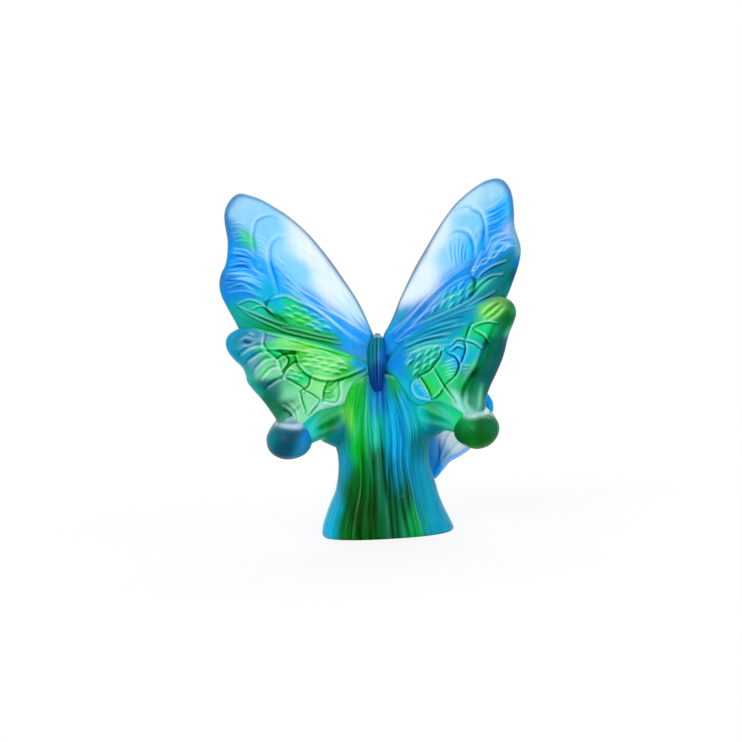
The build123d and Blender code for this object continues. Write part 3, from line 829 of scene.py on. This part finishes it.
def right_forewing_work(relief):
    relief.crest(
        [
            [(33, 91), (29, 88), (26, 86), (22, 82), (17, 78), (12.5, 73.5), (7.5, 69.5), (4, 67)],
            [(33, 89.5), (29, 87), (25, 84), (20, 80), (15.5, 76), (11.5, 72), (6, 67)],
            [(33.5, 85.5), (29, 84), (25.5, 82), (21.5, 78.5), (17.5, 74.5), (12, 69), (6, 64.5)],
            [(44, 85.5), (40, 83.5), (36.5, 80.5), (32.5, 77), (26, 74), (19.5, 71.5), (14, 69.5), (9.5, 67.5)],
            [(30, 79.5), (24, 77.5), (18, 74), (12, 70)],
        ],
        0.36, 0.38, 0.45,
    )
    relief.crest(
        [
            [(38, 98.5), (38.5, 101.5), (38, 104.5), (37, 106.5), (34.5, 108), (33.5, 109), (29, 108)],
            [(34, 92), (34.3, 95), (33.5, 98), (32.5, 99.5), (30.5, 100.5), (28.5, 100.5), (26, 99)],
        ],
        0.45, -0.4, -0.35,
    )
    relief.crest(
        [
            [(39, 95), (39.4, 100), (39.2, 104), (38, 107.3), (35, 109.6)],
            [(35.3, 92), (35.4, 95.5), (34.6, 98.8), (32.8, 101.2), (30, 101.9)],
            [(37.5, 93.5), (34.5, 88), (33.8, 84.5)],
        ],
        0.5, 0.4, 0.5,
    )
    relief.fringe(
        [(37.4, 107), (38.6, 103.5), (39, 97)],
        [(46.6, 112.5), (47.9, 108), (48.3, 102)],
        5, 0.42, 0.4, 0.4, -0.06,
    )
    relief.fringe([(38, 105.5), (38.9, 100)], [(47, 110), (48, 104.5)], 5, 0.4, -0.4, -0.3, -0.06)
    relief.fringe([(37.5, 93), (39.5, 90)], [(48.3, 100.5), (49.8, 95)], 6, 0.32, 0.36, 0.6, 0.16)
    relief.fringe(
        [(26.8, 88.3), (28.5, 89), (30.5, 89.6), (32, 90)],
        [(25.3, 98), (28.5, 99.5), (31.2, 98.8), (33.2, 95.5)],
        6, 0.26, 0.25, 0.4, 0.03,
    )
    relief.fringe(
        [(27.3, 88.6), (29.5, 89.3), (31.5, 89.8)],
        [(27, 98.6), (30, 99), (32.4, 97)],
        5, 0.28, -0.25, -0.4, 0.03,
    )
    relief.fringe([(34.3, 99), (35.3, 94.5)], [(37.4, 103.5), (37.8, 99.5)], 6, 0.3, 0.35, 0.45)
    relief.fold(
        [
            [(44, 85.5), (40, 85), (36.5, 83), (34, 80.5), (31.5, 78)],
            [(45.5, 90), (41, 88.5), (37.5, 86.5), (35.5, 84.5)],
            [(41, 79.5), (34, 76), (27, 72), (20, 69), (13, 66.5), (7, 64)],
            [(38, 75.5), (31, 73), (24, 69.8), (17, 67), (10, 64.5)],
        ],
        0.4, 0.5, 0.55, 0.45, 1,
    )
    relief.crest([[(33.5, 85), (34.3, 83.5), (34, 80.5), (32.5, 78.5)]], 0.5, -0.8, -0.85)
    for x, z, length in ((34.8, 87.6, 1.6), (38.0, 90.0, 2.3), (41.6, 92.2, 2.4), (45.2, 94.4, 2.0)):
        tips = (x - 0.85 * length, z - 0.55 * length), (x + 0.85 * length, z + 0.55 * length)
        for bulge in (0.32 * length, -0.32 * length):
            relief.crest([[tips[0], (x - 0.5 * bulge, z + 0.85 * bulge), tips[1]]], 0.3, 0.35, 0.6)
    relief.wash("depths", [[(48.6, 88), (47.2, 83.5), (45, 80), (41, 77.5)]], 2.4, 0.8)
    relief.wash("pine", [[(46.5, 86), (44.5, 81.5), (41.5, 79)]], 1.6, 0.5)
    relief.wash(
        "royal",
        [[(3, 64.5), (8, 69), (14, 74), (20, 79), (26, 84), (31, 88)], [(5, 64), (10, 67.5), (16, 71)]],
        1.5, 0.6,
    )
    relief.wash(
        "cobalt",
        [[(37, 93), (41, 95.5), (45, 97.5)], [(36, 89), (40, 91), (46, 93.5)], [(36.5, 97), (40, 100), (45, 100)]],
        1.3, 0.6,
    )
    relief.wash("sea", [[(5, 71), (8, 75.5)], [(3, 67.5), (6, 71)]], 1.6, 0.7)
    relief.wash(
        "vivid",
        [
            [(40.1, 106.5), (43.3, 107.6), (46.5, 109.6)],
            [(40.3, 104.9), (43.5, 105.9), (46.7, 108)],
            [(39.6, 103.3), (42.6, 104.2), (45.8, 105.8)],
            [(39.5, 100.5), (43, 101.6), (46.5, 103)],
        ],
        0.55, 0.85,
    )
    relief.pad((26.2, 78.0), 21, 6.0, 31, (3.6, 2.0), 50, 0.4, 0.65)


right_forewing_pools = [
    ("mist", [(42, 115, 4)]),
    ("ice", [(34, 111, 4)]),
    ("frost", [(22, 98, 5), (15, 84, 5)]),
    ("sky", [(33, 104, 4.5), (26, 94, 4)]),
    ("bluebell", [(44, 107, 3.5), (33, 95, 3)]),
    ("lavender", [(47.5, 101, 2)]),
    ("vivid", [(40, 97, 4), (27, 83, 3.5), (8, 67, 4)]),
    ("cobalt", [(36, 88, 3.5), (14, 73, 3.5)]),
    ("petrol", [(46, 87, 3.5), (41, 79.5, 3.5)]),
    ("jade", [(36, 82, 2.5)]),
    ("lagoon", [(25, 77.5, 2.5)]),
    ("sea", [(22, 71, 3.5), (31, 76, 3), (10, 73, 2)]),
]
right_forewing_rims = [
    ("steel", [(44, 118, 3), (36, 115.5, 4), (48, 108, 4)]),
    ("shadow", [(28, 108.5, 4), (20, 98, 4), (12, 85, 4), (6, 73, 3)]),
    ("slate", [(3.5, 69, 3)]),
    ("harbour", [(48.5, 100, 3), (49.5, 94, 2.5)]),
    ("royal", [(49.6, 89, 2.5)]),
    ("midnight", [(48, 86, 3)]),
    ("petrol", [(46, 80, 3), (40, 74, 4), (25, 67, 6)]),
]
right_forewing = cupped(
    "right_forewing_glass_piece",
    [
        (1.6, 64.5), (2.5, 67.5), (4.4, 70.4), (6.3, 74.0), (8.5, 78.8), (11.5, 84.3), (14.5, 89.6), (17.9, 94.8),
        (21.3, 100.0), (25.2, 105.5), (29.3, 110.2), (33.4, 113.6), (36.4, 115.6), (39.4, 117.1), (42.8, 117.7),
        (45.2, 116.7), (47.0, 114.1), (47.9, 110.5), (48.1, 106.3), (48.1, 101.6), (48.8, 98.4), (49.6, 95.3),
        (49.7, 92.2), (48.7, 88.0), (46.9, 83.4), (44.8, 78.6), (42.5, 75.6), (38.5, 74.0), (32, 72), (25, 69.4),
        (17, 66.0), (9, 61.6), (4, 57.5), (1.4, 60),
    ],
    (25.5, 86),
    Cup(reach=50, depth=12, offset=10, height=92, back=5),
    forewing_thickness,
    forewing_rim,
    right_forewing_pools,
    right_forewing_rims,
    right_forewing_work,
    forewing_glass,
)
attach(right_forewing, "root")
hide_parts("right_forewing")


# Hindwings: shorter green plates in front of the forewings' lower edges. Their outer margins are rolled
# thick, their cells are cut deep like a mosaic, and their foot ends curl forward into the knobs.
# Green glass: thicker and less clear than the forewings', so that its cells stand out in bright and dark greens.
hindwing_glass = cast_glass("green_cast_glass", clearest=0.05, depth=0.5, roughness=0.3, streak=0.05)
hindwing_thickness = 4.6
hindwing_rim = 1.8


def foot_curl(spots):
    """How far a hindwing's narrow foot leans forward, in millimetres."""
    return 9.0 * (1 - eased(spots[:, 1], 34.0, 47.0)) * eased(np.abs(spots[:, 0]), 18.0, 27.0)


def left_hindwing_work(relief):
    relief.crest(
        [[(-47, 66), (-45.5, 61), (-42.8, 56), (-40.5, 51.5), (-37, 46.5), (-34.5, 42), (-33, 37.5)]],
        2.0, 1.5, 0.0,
    )
    relief.fold(
        [
            [(-37, 70.3), (-31, 68.6), (-23.5, 65.8), (-17.5, 64), (-10.5, 61.5), (-5, 60)],
            [(-38, 65), (-31, 64.5), (-25.5, 63.5), (-19.5, 62)],
        ],
        0.45, 0.5, 0.5, 0.45, -1,
    )
    relief.fold(
        [[(-38.5, 70), (-39.2, 66.5), (-38, 64), (-36, 62), (-34.5, 60.5), (-33.5, 57), (-32, 54)]],
        0.55, 0.7, 0.6, 0.3, 1,
    )
    relief.fold(
        [
            [(-46.5, 63.7), (-42.5, 65.6), (-39, 65.8)],
            [(-44.3, 60.8), (-40.5, 63), (-38, 63.6)],
            [(-42, 57.8), (-38.5, 60.8), (-35.5, 61.2)],
            [(-40, 54.5), (-36.5, 57.6), (-34, 57.8)],
            [(-38, 51.5), (-34.5, 53.5), (-31.5, 54.5)],
        ],
        0.6, 0.8, 0.5, 0.3, 1,
    )
    relief.fold(
        [
            [(-34.5, 60.5), (-31.5, 62), (-27.5, 62)],
            [(-32.5, 54.5), (-31, 57), (-28.5, 59), (-27, 59)],
            [(-26, 49.5), (-23.5, 51), (-22.5, 54.5)],
            [(-18, 52.5), (-19.5, 49.5), (-20, 46)],
            [(-33.3, 63), (-31, 60.5), (-33, 57.5)],
        ],
        0.45, 0.7, 0.55, 0.95, 1,
    )
    relief.fold(
        [
            [(-32, 54), (-29.5, 52.5), (-26.5, 50.5), (-26, 49.5)],
            [(-26, 49.5), (-23.5, 48), (-21, 46)],
            [(-21.5, 45.5), (-23, 44), (-24.5, 42.5)],
            [(-27.5, 49), (-27, 46), (-26, 43)],
        ],
        0.42, 0.6, 0.5, 0.95, 1,
    )
    relief.fold([[(-13, 52.5), (-13, 47.5), (-15, 44.5), (-20, 45.5)]], 0.5, 0.6, 0.5, 0.4, -1)
    relief.crest(
        [
            [(-33.5, 45.5), (-31.5, 44.3), (-29.8, 42.5), (-29.6, 40.5), (-31.5, 39)],
            [(-31.5, 46.5), (-28.8, 44), (-27.8, 41.5), (-28.4, 39.5)],
        ],
        0.4, 0.4, 0.55,
    )
    relief.crest([[(-32.8, 44), (-30.9, 42.8), (-30.6, 41), (-32, 39.6)]], 0.45, -0.4, -0.6)
    relief.wash("pine", [[(-41, 52), (-37.5, 48), (-34.5, 44.5), (-33.2, 41)]], 1.6, 0.75)
    relief.wash("petrol", [[(-49, 66.5), (-47.6, 63), (-45, 59.5), (-43.6, 56), (-42.5, 53)]], 1.5, 0.75)
    relief.fold(
        [[(-27.6, 62.3), (-26.4, 58.4), (-23, 55), (-17.5, 53.2), (-12, 53.9), (-5, 56.3)]],
        0.5, 0.7, 0.5, 1.0, -1,
    )
    relief.crest([[(-27, 62.5), (-23.5, 63.6), (-18.5, 62.9), (-13, 60), (-10, 57.5)]], 0.4, 0.4, 0.5)
    relief.wash("mint", [[(-19, 52.5), (-16.8, 49.5), (-16.5, 46)]], 3.0, 0.85)
    relief.fringe([(-19.2, 51.8), (-19.8, 47)], [(-14.2, 52.4), (-15, 47.6)], 6, 0.3, -0.35, -0.95, -0.12)
    relief.fringe(
        [(-33.5, 68), (-30, 66.3), (-24, 64.8)],
        [(-27, 67.2), (-22.5, 65.3), (-15, 63)],
        3, 0.3, 0.3, 0.4, 0.02,
    )
    relief.fringe([(-35.5, 65), (-30, 63.6)], [(-31, 61), (-26.8, 62)], 4, 0.4, -0.5, -0.5, 0.1)
    relief.pad((-28.6, 55.6), 6.6, 5.8, -20, (2.6, 1.5), -15, 0.4, 0.7)
    relief.pad((-18.2, 58.6), 19, 8.2, -17, (3.4, 1.9), -10, 0.75, 0.85)
    relief.crest(
        [
            [(-46.5, 68.5), (-44.5, 69.5), (-42, 68.6)],
            [(-46, 66.8), (-44, 66.4), (-41.5, 67)],
            [(-43.5, 71), (-41.5, 70)],
        ],
        0.5, 0.35, 0.5,
    )
    relief.crest([[(-45.5, 68.3), (-43.8, 67.6), (-42.3, 67.9)]], 0.5, -0.5, -0.6)


left_hindwing_pools = [
    ("slate", [(-47, 69, 3)]),
    ("harbour", [(-42, 68, 2.5), (-43, 59, 2.5)]),
    ("sea", [(-47, 64, 3)]),
    ("depths", [(-41, 51.5, 2.5), (-37, 48, 2.5)]),
    ("pine", [(-34, 44.5, 3)]),
    ("lime", [(-24, 65.5, 3)]),
    ("leaf", [(-15, 62.5, 3)]),
    ("spring", [(-34, 64, 3), (-26, 54, 2.5)]),
    ("grass", [(-28, 62, 2.5), (-12, 54.5, 2.5)]),
    ("mint", [(-31, 67, 2.5), (-19, 59, 4), (-22, 51, 3)]),
    ("vivid", [(-5, 59.5, 2)]),
    ("pistachio", [(-38, 58, 3), (-30, 48.5, 3), (-26, 45, 3), (-16, 49, 3)]),
    ("foam", [(-19, 43.5, 2.5)]),
    ("sage", [(-32.5, 41, 2)]),
]
left_hindwing_rims = [
    ("sea", [(-49.5, 68, 3), (-48, 62, 3), (-45, 72, 3)]),
    ("teal", [(-45, 57, 3), (-43, 52, 3)]),
    ("pine", [(-38, 46, 3), (-35, 41, 3)]),
    ("spring", [(-38, 71, 3), (-25, 68, 6), (-10, 61, 5)]),
    ("foam", [(-14, 45, 4), (-26, 40, 5)]),
]
left_hindwing = cupped(
    "left_hindwing_glass_piece",
    [
        (-2.0, 56.5), (-4.7, 58.9), (-12.1, 62.6), (-20.1, 65.9),
        (-29, 68.7), (-37, 71.0), (-41.5, 72.4), (-45.8, 72.4),
        (-48.6, 71.3), (-50.3, 69.5), (-50.7, 67.1), (-49.8, 64.4), (-48.0, 61.9), (-45.8, 59.5), (-44.8, 57.1),
        (-44.3, 54.4), (-42.7, 51.9), (-39.8, 48.2), (-37.0, 44.2),
        (-35.2, 41.5), (-34.4, 39.2), (-32, 37.8), (-28, 38.2),
        (-24.5, 40.0), (-19.4, 42.8), (-14.8, 43.8), (-11.5, 45.5), (-9.5, 49.5), (-6.5, 52), (-3.4, 54.2),
    ],
    (-27, 57),
    Cup(reach=51, depth=16, offset=-20, height=70, back=-0.5),
    hindwing_thickness,
    hindwing_rim,
    left_hindwing_pools,
    left_hindwing_rims,
    left_hindwing_work,
    hindwing_glass,
    foot_curl,
)
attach(left_hindwing, "root")
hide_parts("left_hindwing")


def right_hindwing_work(relief):
    relief.crest(
        [[(44.5, 71.5), (42, 66.5), (40.5, 61.5), (38.2, 56), (35.5, 51.5), (33, 47), (31.3, 43), (30.8, 39.5)]],
        2.3, 2.0, 0.0,
    )
    relief.crest(
        [[(40.5, 69.5), (38, 64.5), (35.7, 60.3), (33, 54), (30, 50), (28, 46.5), (27.5, 43.5), (28.5, 40)]],
        0.7, -0.9, -0.55,
    )
    relief.wash("bottle", [[(45.5, 74), (44.3, 69), (42.3, 64)]], 2.6, 0.85)
    relief.wash(
        "abyss",
        [[(45, 71), (42.6, 66), (40.4, 60.5), (38, 56), (35.4, 51.5), (32.8, 47), (31.6, 42.5)]],
        2.9, 0.95,
    )
    relief.wash("pine", [[(42.5, 67), (40, 61.5), (37.5, 56.5), (35, 52)]], 1.3, 0.7)
    relief.wash("forest", [[(38.2, 60.5), (34.6, 54), (31.2, 48.5), (30, 44), (30.2, 41)]], 0.9, 0.8)
    # Painted sheen: pale washes low on the roll, along its outer edge and at its foot.
    relief.wash("foam", [[(34.8, 48), (33.8, 44.5), (33, 41.5), (32.2, 39.5)]], 0.7, 0.4)
    relief.wash("foam", [[(29, 45.5), (28, 42), (28.6, 39.5)]], 1.0, 0.7)
    relief.crest([[(36.5, 62.5), (33.5, 57), (30.5, 52.5), (28, 49)]], 0.9, 0.35, 0.35)
    # A painted highlight near the outer edge.
    relief.crest([[(44.4, 66.8), (43.6, 64.3), (42.9, 62.0)]], 0.35, 0.1, 0.4)
    relief.fold(
        [
            [(30, 63.5), (30.3, 60.5), (29, 57), (27.8, 55)],
            [(22, 61), (21.5, 58.5), (19, 55.5), (17, 53.5), (13.5, 52)],
            [(24, 60), (26.5, 58.6), (27.8, 55.5), (26.5, 52), (24, 49.8), (22.5, 48.5)],
            [(32.5, 69), (31.4, 66.5), (30.6, 64.5)],
        ],
        0.45, 0.65, 0.5, 0.9, -1,
    )
    relief.fold(
        [
            [(24.5, 62.5), (27, 64.5), (30, 64), (33, 63), (35.5, 61)],
            [(24.5, 60.7), (27, 62.3), (29.5, 61.3)],
            [(32.5, 68.5), (34.5, 69.5), (38, 70.2), (41, 69.5)],
            [(33.5, 67.5), (36.5, 65.5), (38, 63)],
        ],
        0.42, 0.55, 0.6, 0.55, -1,
    )
    relief.fold(
        [
            [(18, 54.5), (20, 50.5), (22, 47), (24.5, 43.5)],
            [(13, 51.8), (15, 48.5), (16.5, 44.8)],
            [(20.8, 48.2), (19.3, 46.2), (17.4, 45)],
        ],
        0.42, 0.6, 0.5, 0.95, 1,
    )
    relief.fold(
        [[(12, 51.5), (10.4, 49), (12, 45.5), (16.5, 44), (18, 43), (21, 42.5), (24, 41)]],
        0.45, 0.5, 0.6, 0.3, -1,
    )
    relief.fringe([(11.4, 50.5), (14.5, 45.5)], [(13.6, 51.2), (16.2, 46.4)], 7, 0.25, 0.3, 0.6)
    relief.fringe(
        [(21.5, 56.3), (21.4, 53.5), (22.4, 51)],
        [(26.8, 57.8), (27.2, 55), (25.6, 51.6)],
        6, 0.32, 0.42, 0.65, 0.02,
    )
    relief.fringe([(28.4, 55.4), (28, 52.4)], [(31, 55.2), (30.4, 53)], 3, 0.32, 0.4, 0.6)
    relief.crest([[(26, 63), (28.5, 63.5), (31, 62.6), (33.5, 61.5)]], 0.3, 0.25, 0.3)
    relief.fringe(
        [(11, 68.3), (8.5, 63.5), (6, 59.5)],
        [(33.5, 75.5), (31, 70), (24.5, 62.8)],
        6, 0.42, 0.4, 0.5, 0.03,
    )
    relief.fringe([(9.5, 66), (7, 61.5)], [(32, 73), (27, 66.5)], 4, 0.45, -0.45, -0.45, 0.03)
    relief.fold([[(9.5, 68), (15.5, 69.3), (21.5, 71.5), (27, 73.5), (33, 75.2)]], 0.45, 0.5, 0.55, 0.4, -1)
    relief.crest(
        [
            [(35.6, 72.6), (38, 75), (41, 76.8)],
            [(36.6, 71.2), (39.4, 73.2), (42.6, 75.8)],
            [(38.2, 70.4), (41.2, 72), (43.8, 74.6)],
        ],
        0.6, 0.5, 0.6,
    )
    relief.crest(
        [[(36.3, 72.1), (38.8, 74.2), (41.8, 76.2)], [(37.6, 70.9), (40.4, 72.7), (43.2, 75.1)]],
        0.4, -0.5, -0.5,
    )
    relief.wash("forest", [[(46.4, 76.5), (46, 72.5), (45, 68.5)]], 1.6, 0.8)
    relief.wash("moss", [[(38, 77), (41, 77.4), (44, 76.6)]], 1.0, 0.6)
    relief.wash("cobalt", [[(3, 60), (8, 63.5), (13, 66.5)], [(3.5, 57), (8, 60)]], 2.0, 0.55)
    relief.wash("sea", [[(13, 66.5), (20, 69), (27, 72)], [(12, 62.5), (19, 65.5)]], 1.6, 0.5)
    relief.crest([[(8.6, 57.5), (10.7, 60.2), (14, 61.9), (18, 62.6), (21.2, 61.9), (22.2, 60.4)]], 0.35, 0.3, 0.5)
    relief.pad((15.6, 58.0), 16, 8.6, 28, (3.4, 2.0), 42, 0.6, 0.9)


right_hindwing_pools = [
    ("moss", [(43, 77, 2.5)]),
    ("lime", [(40, 73.5, 2.5)]),
    ("bottle", [(45, 71, 2.5)]),
    ("spring", [(36, 67.5, 3), (34, 55, 2), (20, 53, 3), (22, 45.5, 2.5)]),
    ("sea", [(28, 71, 3.5), (17, 67, 3.5), (11, 59, 2.5)]),
    ("cobalt", [(5, 60, 4)]),
    ("cyan", [(27, 59, 3.5), (13, 46.5, 2.5)]),
    ("lagoon", [(32, 61, 2.5)]),
    ("jade", [(17, 60, 3.5)]),
    ("lawn", [(13, 55, 3)]),
    ("pine", [(40, 61, 3), (36, 53, 3)]),
    ("emerald", [(32.5, 47, 3)]),
    ("leaf", [(17, 48.5, 2)]),
    ("foam", [(27, 41.5, 2.5)]),
    ("sage", [(33, 42, 2)]),
]
right_hindwing_rims = [
    ("moss", [(42, 78, 3)]),
    ("forest", [(46.5, 74.5, 2.5)]),
    ("sage", [(47, 74, 2), (45, 66.5, 2)]),
    ("abyss", [(43.5, 62.5, 2), (42, 58, 3), (40, 53, 3), (37, 48, 3)]),
    ("dusk", [(35, 42, 2)]),
    ("pine", [(46, 70, 3)]),
    ("sea", [(35, 77, 3), (24, 73, 6), (8, 67, 6)]),
    ("jade", [(10, 48, 5), (24, 40, 4)]),
]
right_hindwing = cupped(
    "right_hindwing_glass_piece",
    [
        (1.5, 57), (4, 60.5), (9, 65), (17, 69.6), (25, 73), (32, 75.6), (36.5, 77.2), (39.5, 78.0), (42.3, 78.0),
        (44.9, 76.9), (46.5, 74.8), (46.9, 72.3), (46.1, 69.6),
        (44.5, 66.0), (43.4, 62.8), (42.6, 60.0), (41.3, 56.5),
        (39.2, 52.3), (37.1, 48.5), (35.6, 45.1), (34.8, 41.9), (34.0, 39.4), (32, 38.0), (28.5, 38.2), (24, 41.0),
        (17.5, 43.2), (13.6, 42.6), (10.5, 44.0), (7.5, 48.0), (5.5, 51.4), (2.4, 54.6),
    ],
    (25, 58),
    Cup(reach=47, depth=16, offset=20, height=70, back=-0.5),
    hindwing_thickness,
    hindwing_rim,
    right_hindwing_pools,
    right_hindwing_rims,
    right_hindwing_work,
    hindwing_glass,
    foot_curl,
)
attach(right_hindwing, "root")
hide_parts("right_hindwing")


# Arms: stout branches of green and cyan glass that reach forward from the trunk and hold the knobs.
# They were pressed onto the wax trunk's sides and smoothed down by hand.
def worked(name, rings, outward, relief, material):
    """A piece whose sections stand out or lie back as its relief was worked."""
    rings = rings + outward * relief.lift.reshape(rings.shape[:2])[:, :, None]
    return skin(name, rings, finished(relief.colour, relief.shade), material)


# Green to cyan glass: no light passes through it, and its streaks run along the branches.
arm_glass = cast_glass(
    "green_to_cyan_satin_glass", clearest=0.0, depth=0.4, roughness=0.3, grain_turn=70, streak=0.08
)
arm_pools = trunk_pools + [
    ("emerald", [(-19, 38.5, 3.5), (18, 40.5, 3)]),
    ("bottle", [(-17, 37, 2)]),
    ("lagoon", [(-24, 35.5, 3), (13, 38, 2.5)]),
    ("jade", [(21, 38, 3)]),
    ("petrol", [(17, 33.5, 2.5)]),
    ("spring", [(26, 35.5, 3)]),
]
arm_paths = {
    -1: [
        (-8, 0, 39.5), (-12, -1, 38.8), (-15, -2.0, 38.3), (-18, -4, 38.2), (-21, -6.6, 38.3), (-24.5, -10.5, 37.0),
        (-28, -13.5, 35.6),
    ],
    1: [
        (8, 0, 39.5), (12, -1, 38.8), (15, -2.0, 38.6), (18, -4, 38.8), (21, -6.6, 38.9), (25, -10.5, 37.8),
        (28.5, -13.5, 36.0),
    ],
}
arm_heights = {-1: [7.0, 7.8, 8.2, 5.6, 4.4, 4.0, 3.9], 1: [7.0, 7.4, 7.0, 5.4, 4.4, 4.0, 3.8]}
for side, word in ((-1, "left"), (1, "right")):
    rings, outward, share, turn = swept(
        arm_paths[side],
        arm_heights[side],
        [6.0, 6.2, 6.2, 5.8, 5.2, 4.7, 4.2],
        (0, 0, 1),
        count=110,
        around=140,
    )
    # The camera looks down a little, so what stands forward shows lower, and takes the colour of that place.
    spots = rings.reshape(-1, 3)[:, [0, 2]] - (0, 1.0)
    relief = Relief(spots, arm_pools, 5 + side)
    drawn = [
        [(11, 43), (16, 41), (21, 38.5), (26, 35)],
        [(12, 38), (17, 36.5), (22, 35.5), (26, 33.5)],
        [(16, 43), (20, 41), (24, 38)],
    ]
    # Drawn ridges with a painted highlight, and a groove with painted shade.
    relief.crest([[(side * x, z) for x, z in line] for line in drawn], 0.8, 0.25, 0.12)
    relief.crest([[(side * 14, 40), (side * 18, 38.2), (side * 22, 37)]], 0.9, -0.3, -0.3)
    arm = worked(f"{word}_arm_glass_piece", rings, outward, relief, arm_glass)
    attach(arm, "root")
    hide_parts(f"{word}_arm")


# Tails: the hindwings' ends, deep teal and green glass, curled forward into smooth oval knobs.
# They were rolled in wax. The pale lip over each knob is partly pale glass and partly a painted highlight along its
# ridges.
# Deep teal glass: smoother than the rest, so that the knobs catch a soft light.
tail_glass = cast_glass("deep_teal_satin_glass", clearest=0.2, depth=0.45, roughness=0.24)
tail_pools = {
    -1: [
        ("midnight", [(-32, 32, 5)]),
        ("petrol", [(-38, 33, 3)]),
        ("slate", [(-27, 30, 3)]),
        ("cobalt", [(-25.5, 34, 2)]),
        ("harbour", [(-30, 40, 1.8)]),
        ("pearl", [(-25.5, 40.5, 2)]),
    ],
    1: [
        ("forest", [(32, 32, 6)]),
        ("bottle", [(30, 28, 3)]),
        ("pine", [(38, 33, 3)]),
        ("emerald", [(28, 35.5, 2.5)]),
        ("foam", [(28.5, 39, 1.5)]),
        ("sage", [(33, 39.5, 1.5)]),
    ],
}
# Each tail grows over its first six tenths and is rounded off from there into its knob.
run = np.linspace(0, 1, 61)
grown = [0, 0.2, 0.4, 0.6]
knob = np.sqrt(np.clip(1 - (np.maximum(run - 0.63, 0) / 0.37) ** 2, 0.015, 1))
for side, word in ((-1, "left"), (1, "right")):
    rings, outward, share, turn = swept(
        [
            (side * 30.3, -5.6, 43.8), (side * 30.5, -6.8, 41.8),
            (side * 30.9, -9.3, 38.9), (side * 31.2, -12.4, 36.2),
            (side * 31.3, -15.6, 34.8), (side * 31.3, -19.0, 34.6),
            (side * 31.3, -21.6, 34.6), (side * 31.3, -22.9, 34.6),
        ],
        np.interp(run, grown, [3.4, 5.0, 6.8, 7.6]) * knob,
        np.interp(run, grown, [1.8, 3.3, 5.2, 6.1]) * knob,
        (1, 0, 0),
        count=120,
        around=150,
    )
    spots = rings.reshape(-1, 3)[:, [0, 2]] - (0, 2.1)
    relief = Relief(spots, tail_pools[side], 15 + side)
    # Each knob's pale lip: a band of pale glass, and ridges over it that carry a painted highlight.
    if side < 0:
        relief.wash("pearl", [[(-34.5, 38.6), (-30.5, 37.7), (-27, 37.6), (-25, 39), (-23.5, 41.5)]], 0.7, 0.95)
    else:
        relief.wash("foam", [[(26.5, 38.5), (29, 38.0), (33, 38.6), (36, 39)]], 0.9, 0.9)
    lip_highlights = [[(36.5, 38.3), (32, 38), (28.5, 37.6), (25.5, 39.5)], [(35, 40), (31, 39.6), (28.4, 40.5)]]
    relief.crest([[(side * x, z) for x, z in line] for line in lip_highlights], 0.6, 0.3, 0.6)
    tail = worked(f"{word}_tail_glass_piece", rings, outward, relief, tail_glass)
    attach(tail, "root")
    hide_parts(f"{word}_tail")


# Rear leaf: a thin, nearly clear leaf of glass with a blue base and tip, behind the trunk on the right.
# It was set against the wax trunk's side and cast with it.
def leaf_work(relief):
    relief.crest(
        [[(17, 18), (20, 25), (24, 33), (30, 41)], [(17.5, 19), (22, 24), (27, 29), (32, 35)]],
        0.6, 0.35, -0.25,
    )
    relief.crest([[(19, 20), (19.5, 27), (20, 31)]], 0.5, 0.3, -0.5)


leaf_thickness = 3.4
leaf_rim = 1.4
# Nearly clear glass: much of the light passes through it, so that it reads as pale and thin.
leaf_glass = cast_glass(
    "nearly_clear_blue_glass", clearest=0.6, depth=0.4, roughness=0.24, grain_turn=30, streak=0.06
)
leaf = cupped(
    "rear_leaf_glass_piece",
    [
        (17.1, 16.4), (20.1, 19.1), (22.7, 21.7), (26.5, 23.6),
        (30.9, 26.8), (34.8, 32.0), (37.4, 37.2), (38.0, 40.3),
        (37.3, 43.0), (35.4, 45.2), (30, 46.5), (22, 45), (14, 38), (9, 30), (10, 21), (13.5, 16.8),
    ],
    (23, 33),
    Cup(reach=19, depth=5, offset=19, height=30.75, back=11),
    leaf_thickness,
    leaf_rim,
    [
        ("cobalt", [(36.5, 43, 2.5)]),
        ("frost", [(25, 31, 6)]),
        ("mist", [(21, 22, 3)]),
        ("vivid", [(14, 29, 5), (17.5, 21, 3)]),
    ],
    [("azure", [(22, 20, 6), (31, 27, 6)]), ("vivid", [(38, 42, 4), (12, 20, 6)])],
    leaf_work,
    leaf_glass,
)
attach(leaf, "root")
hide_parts("rear_leaf")
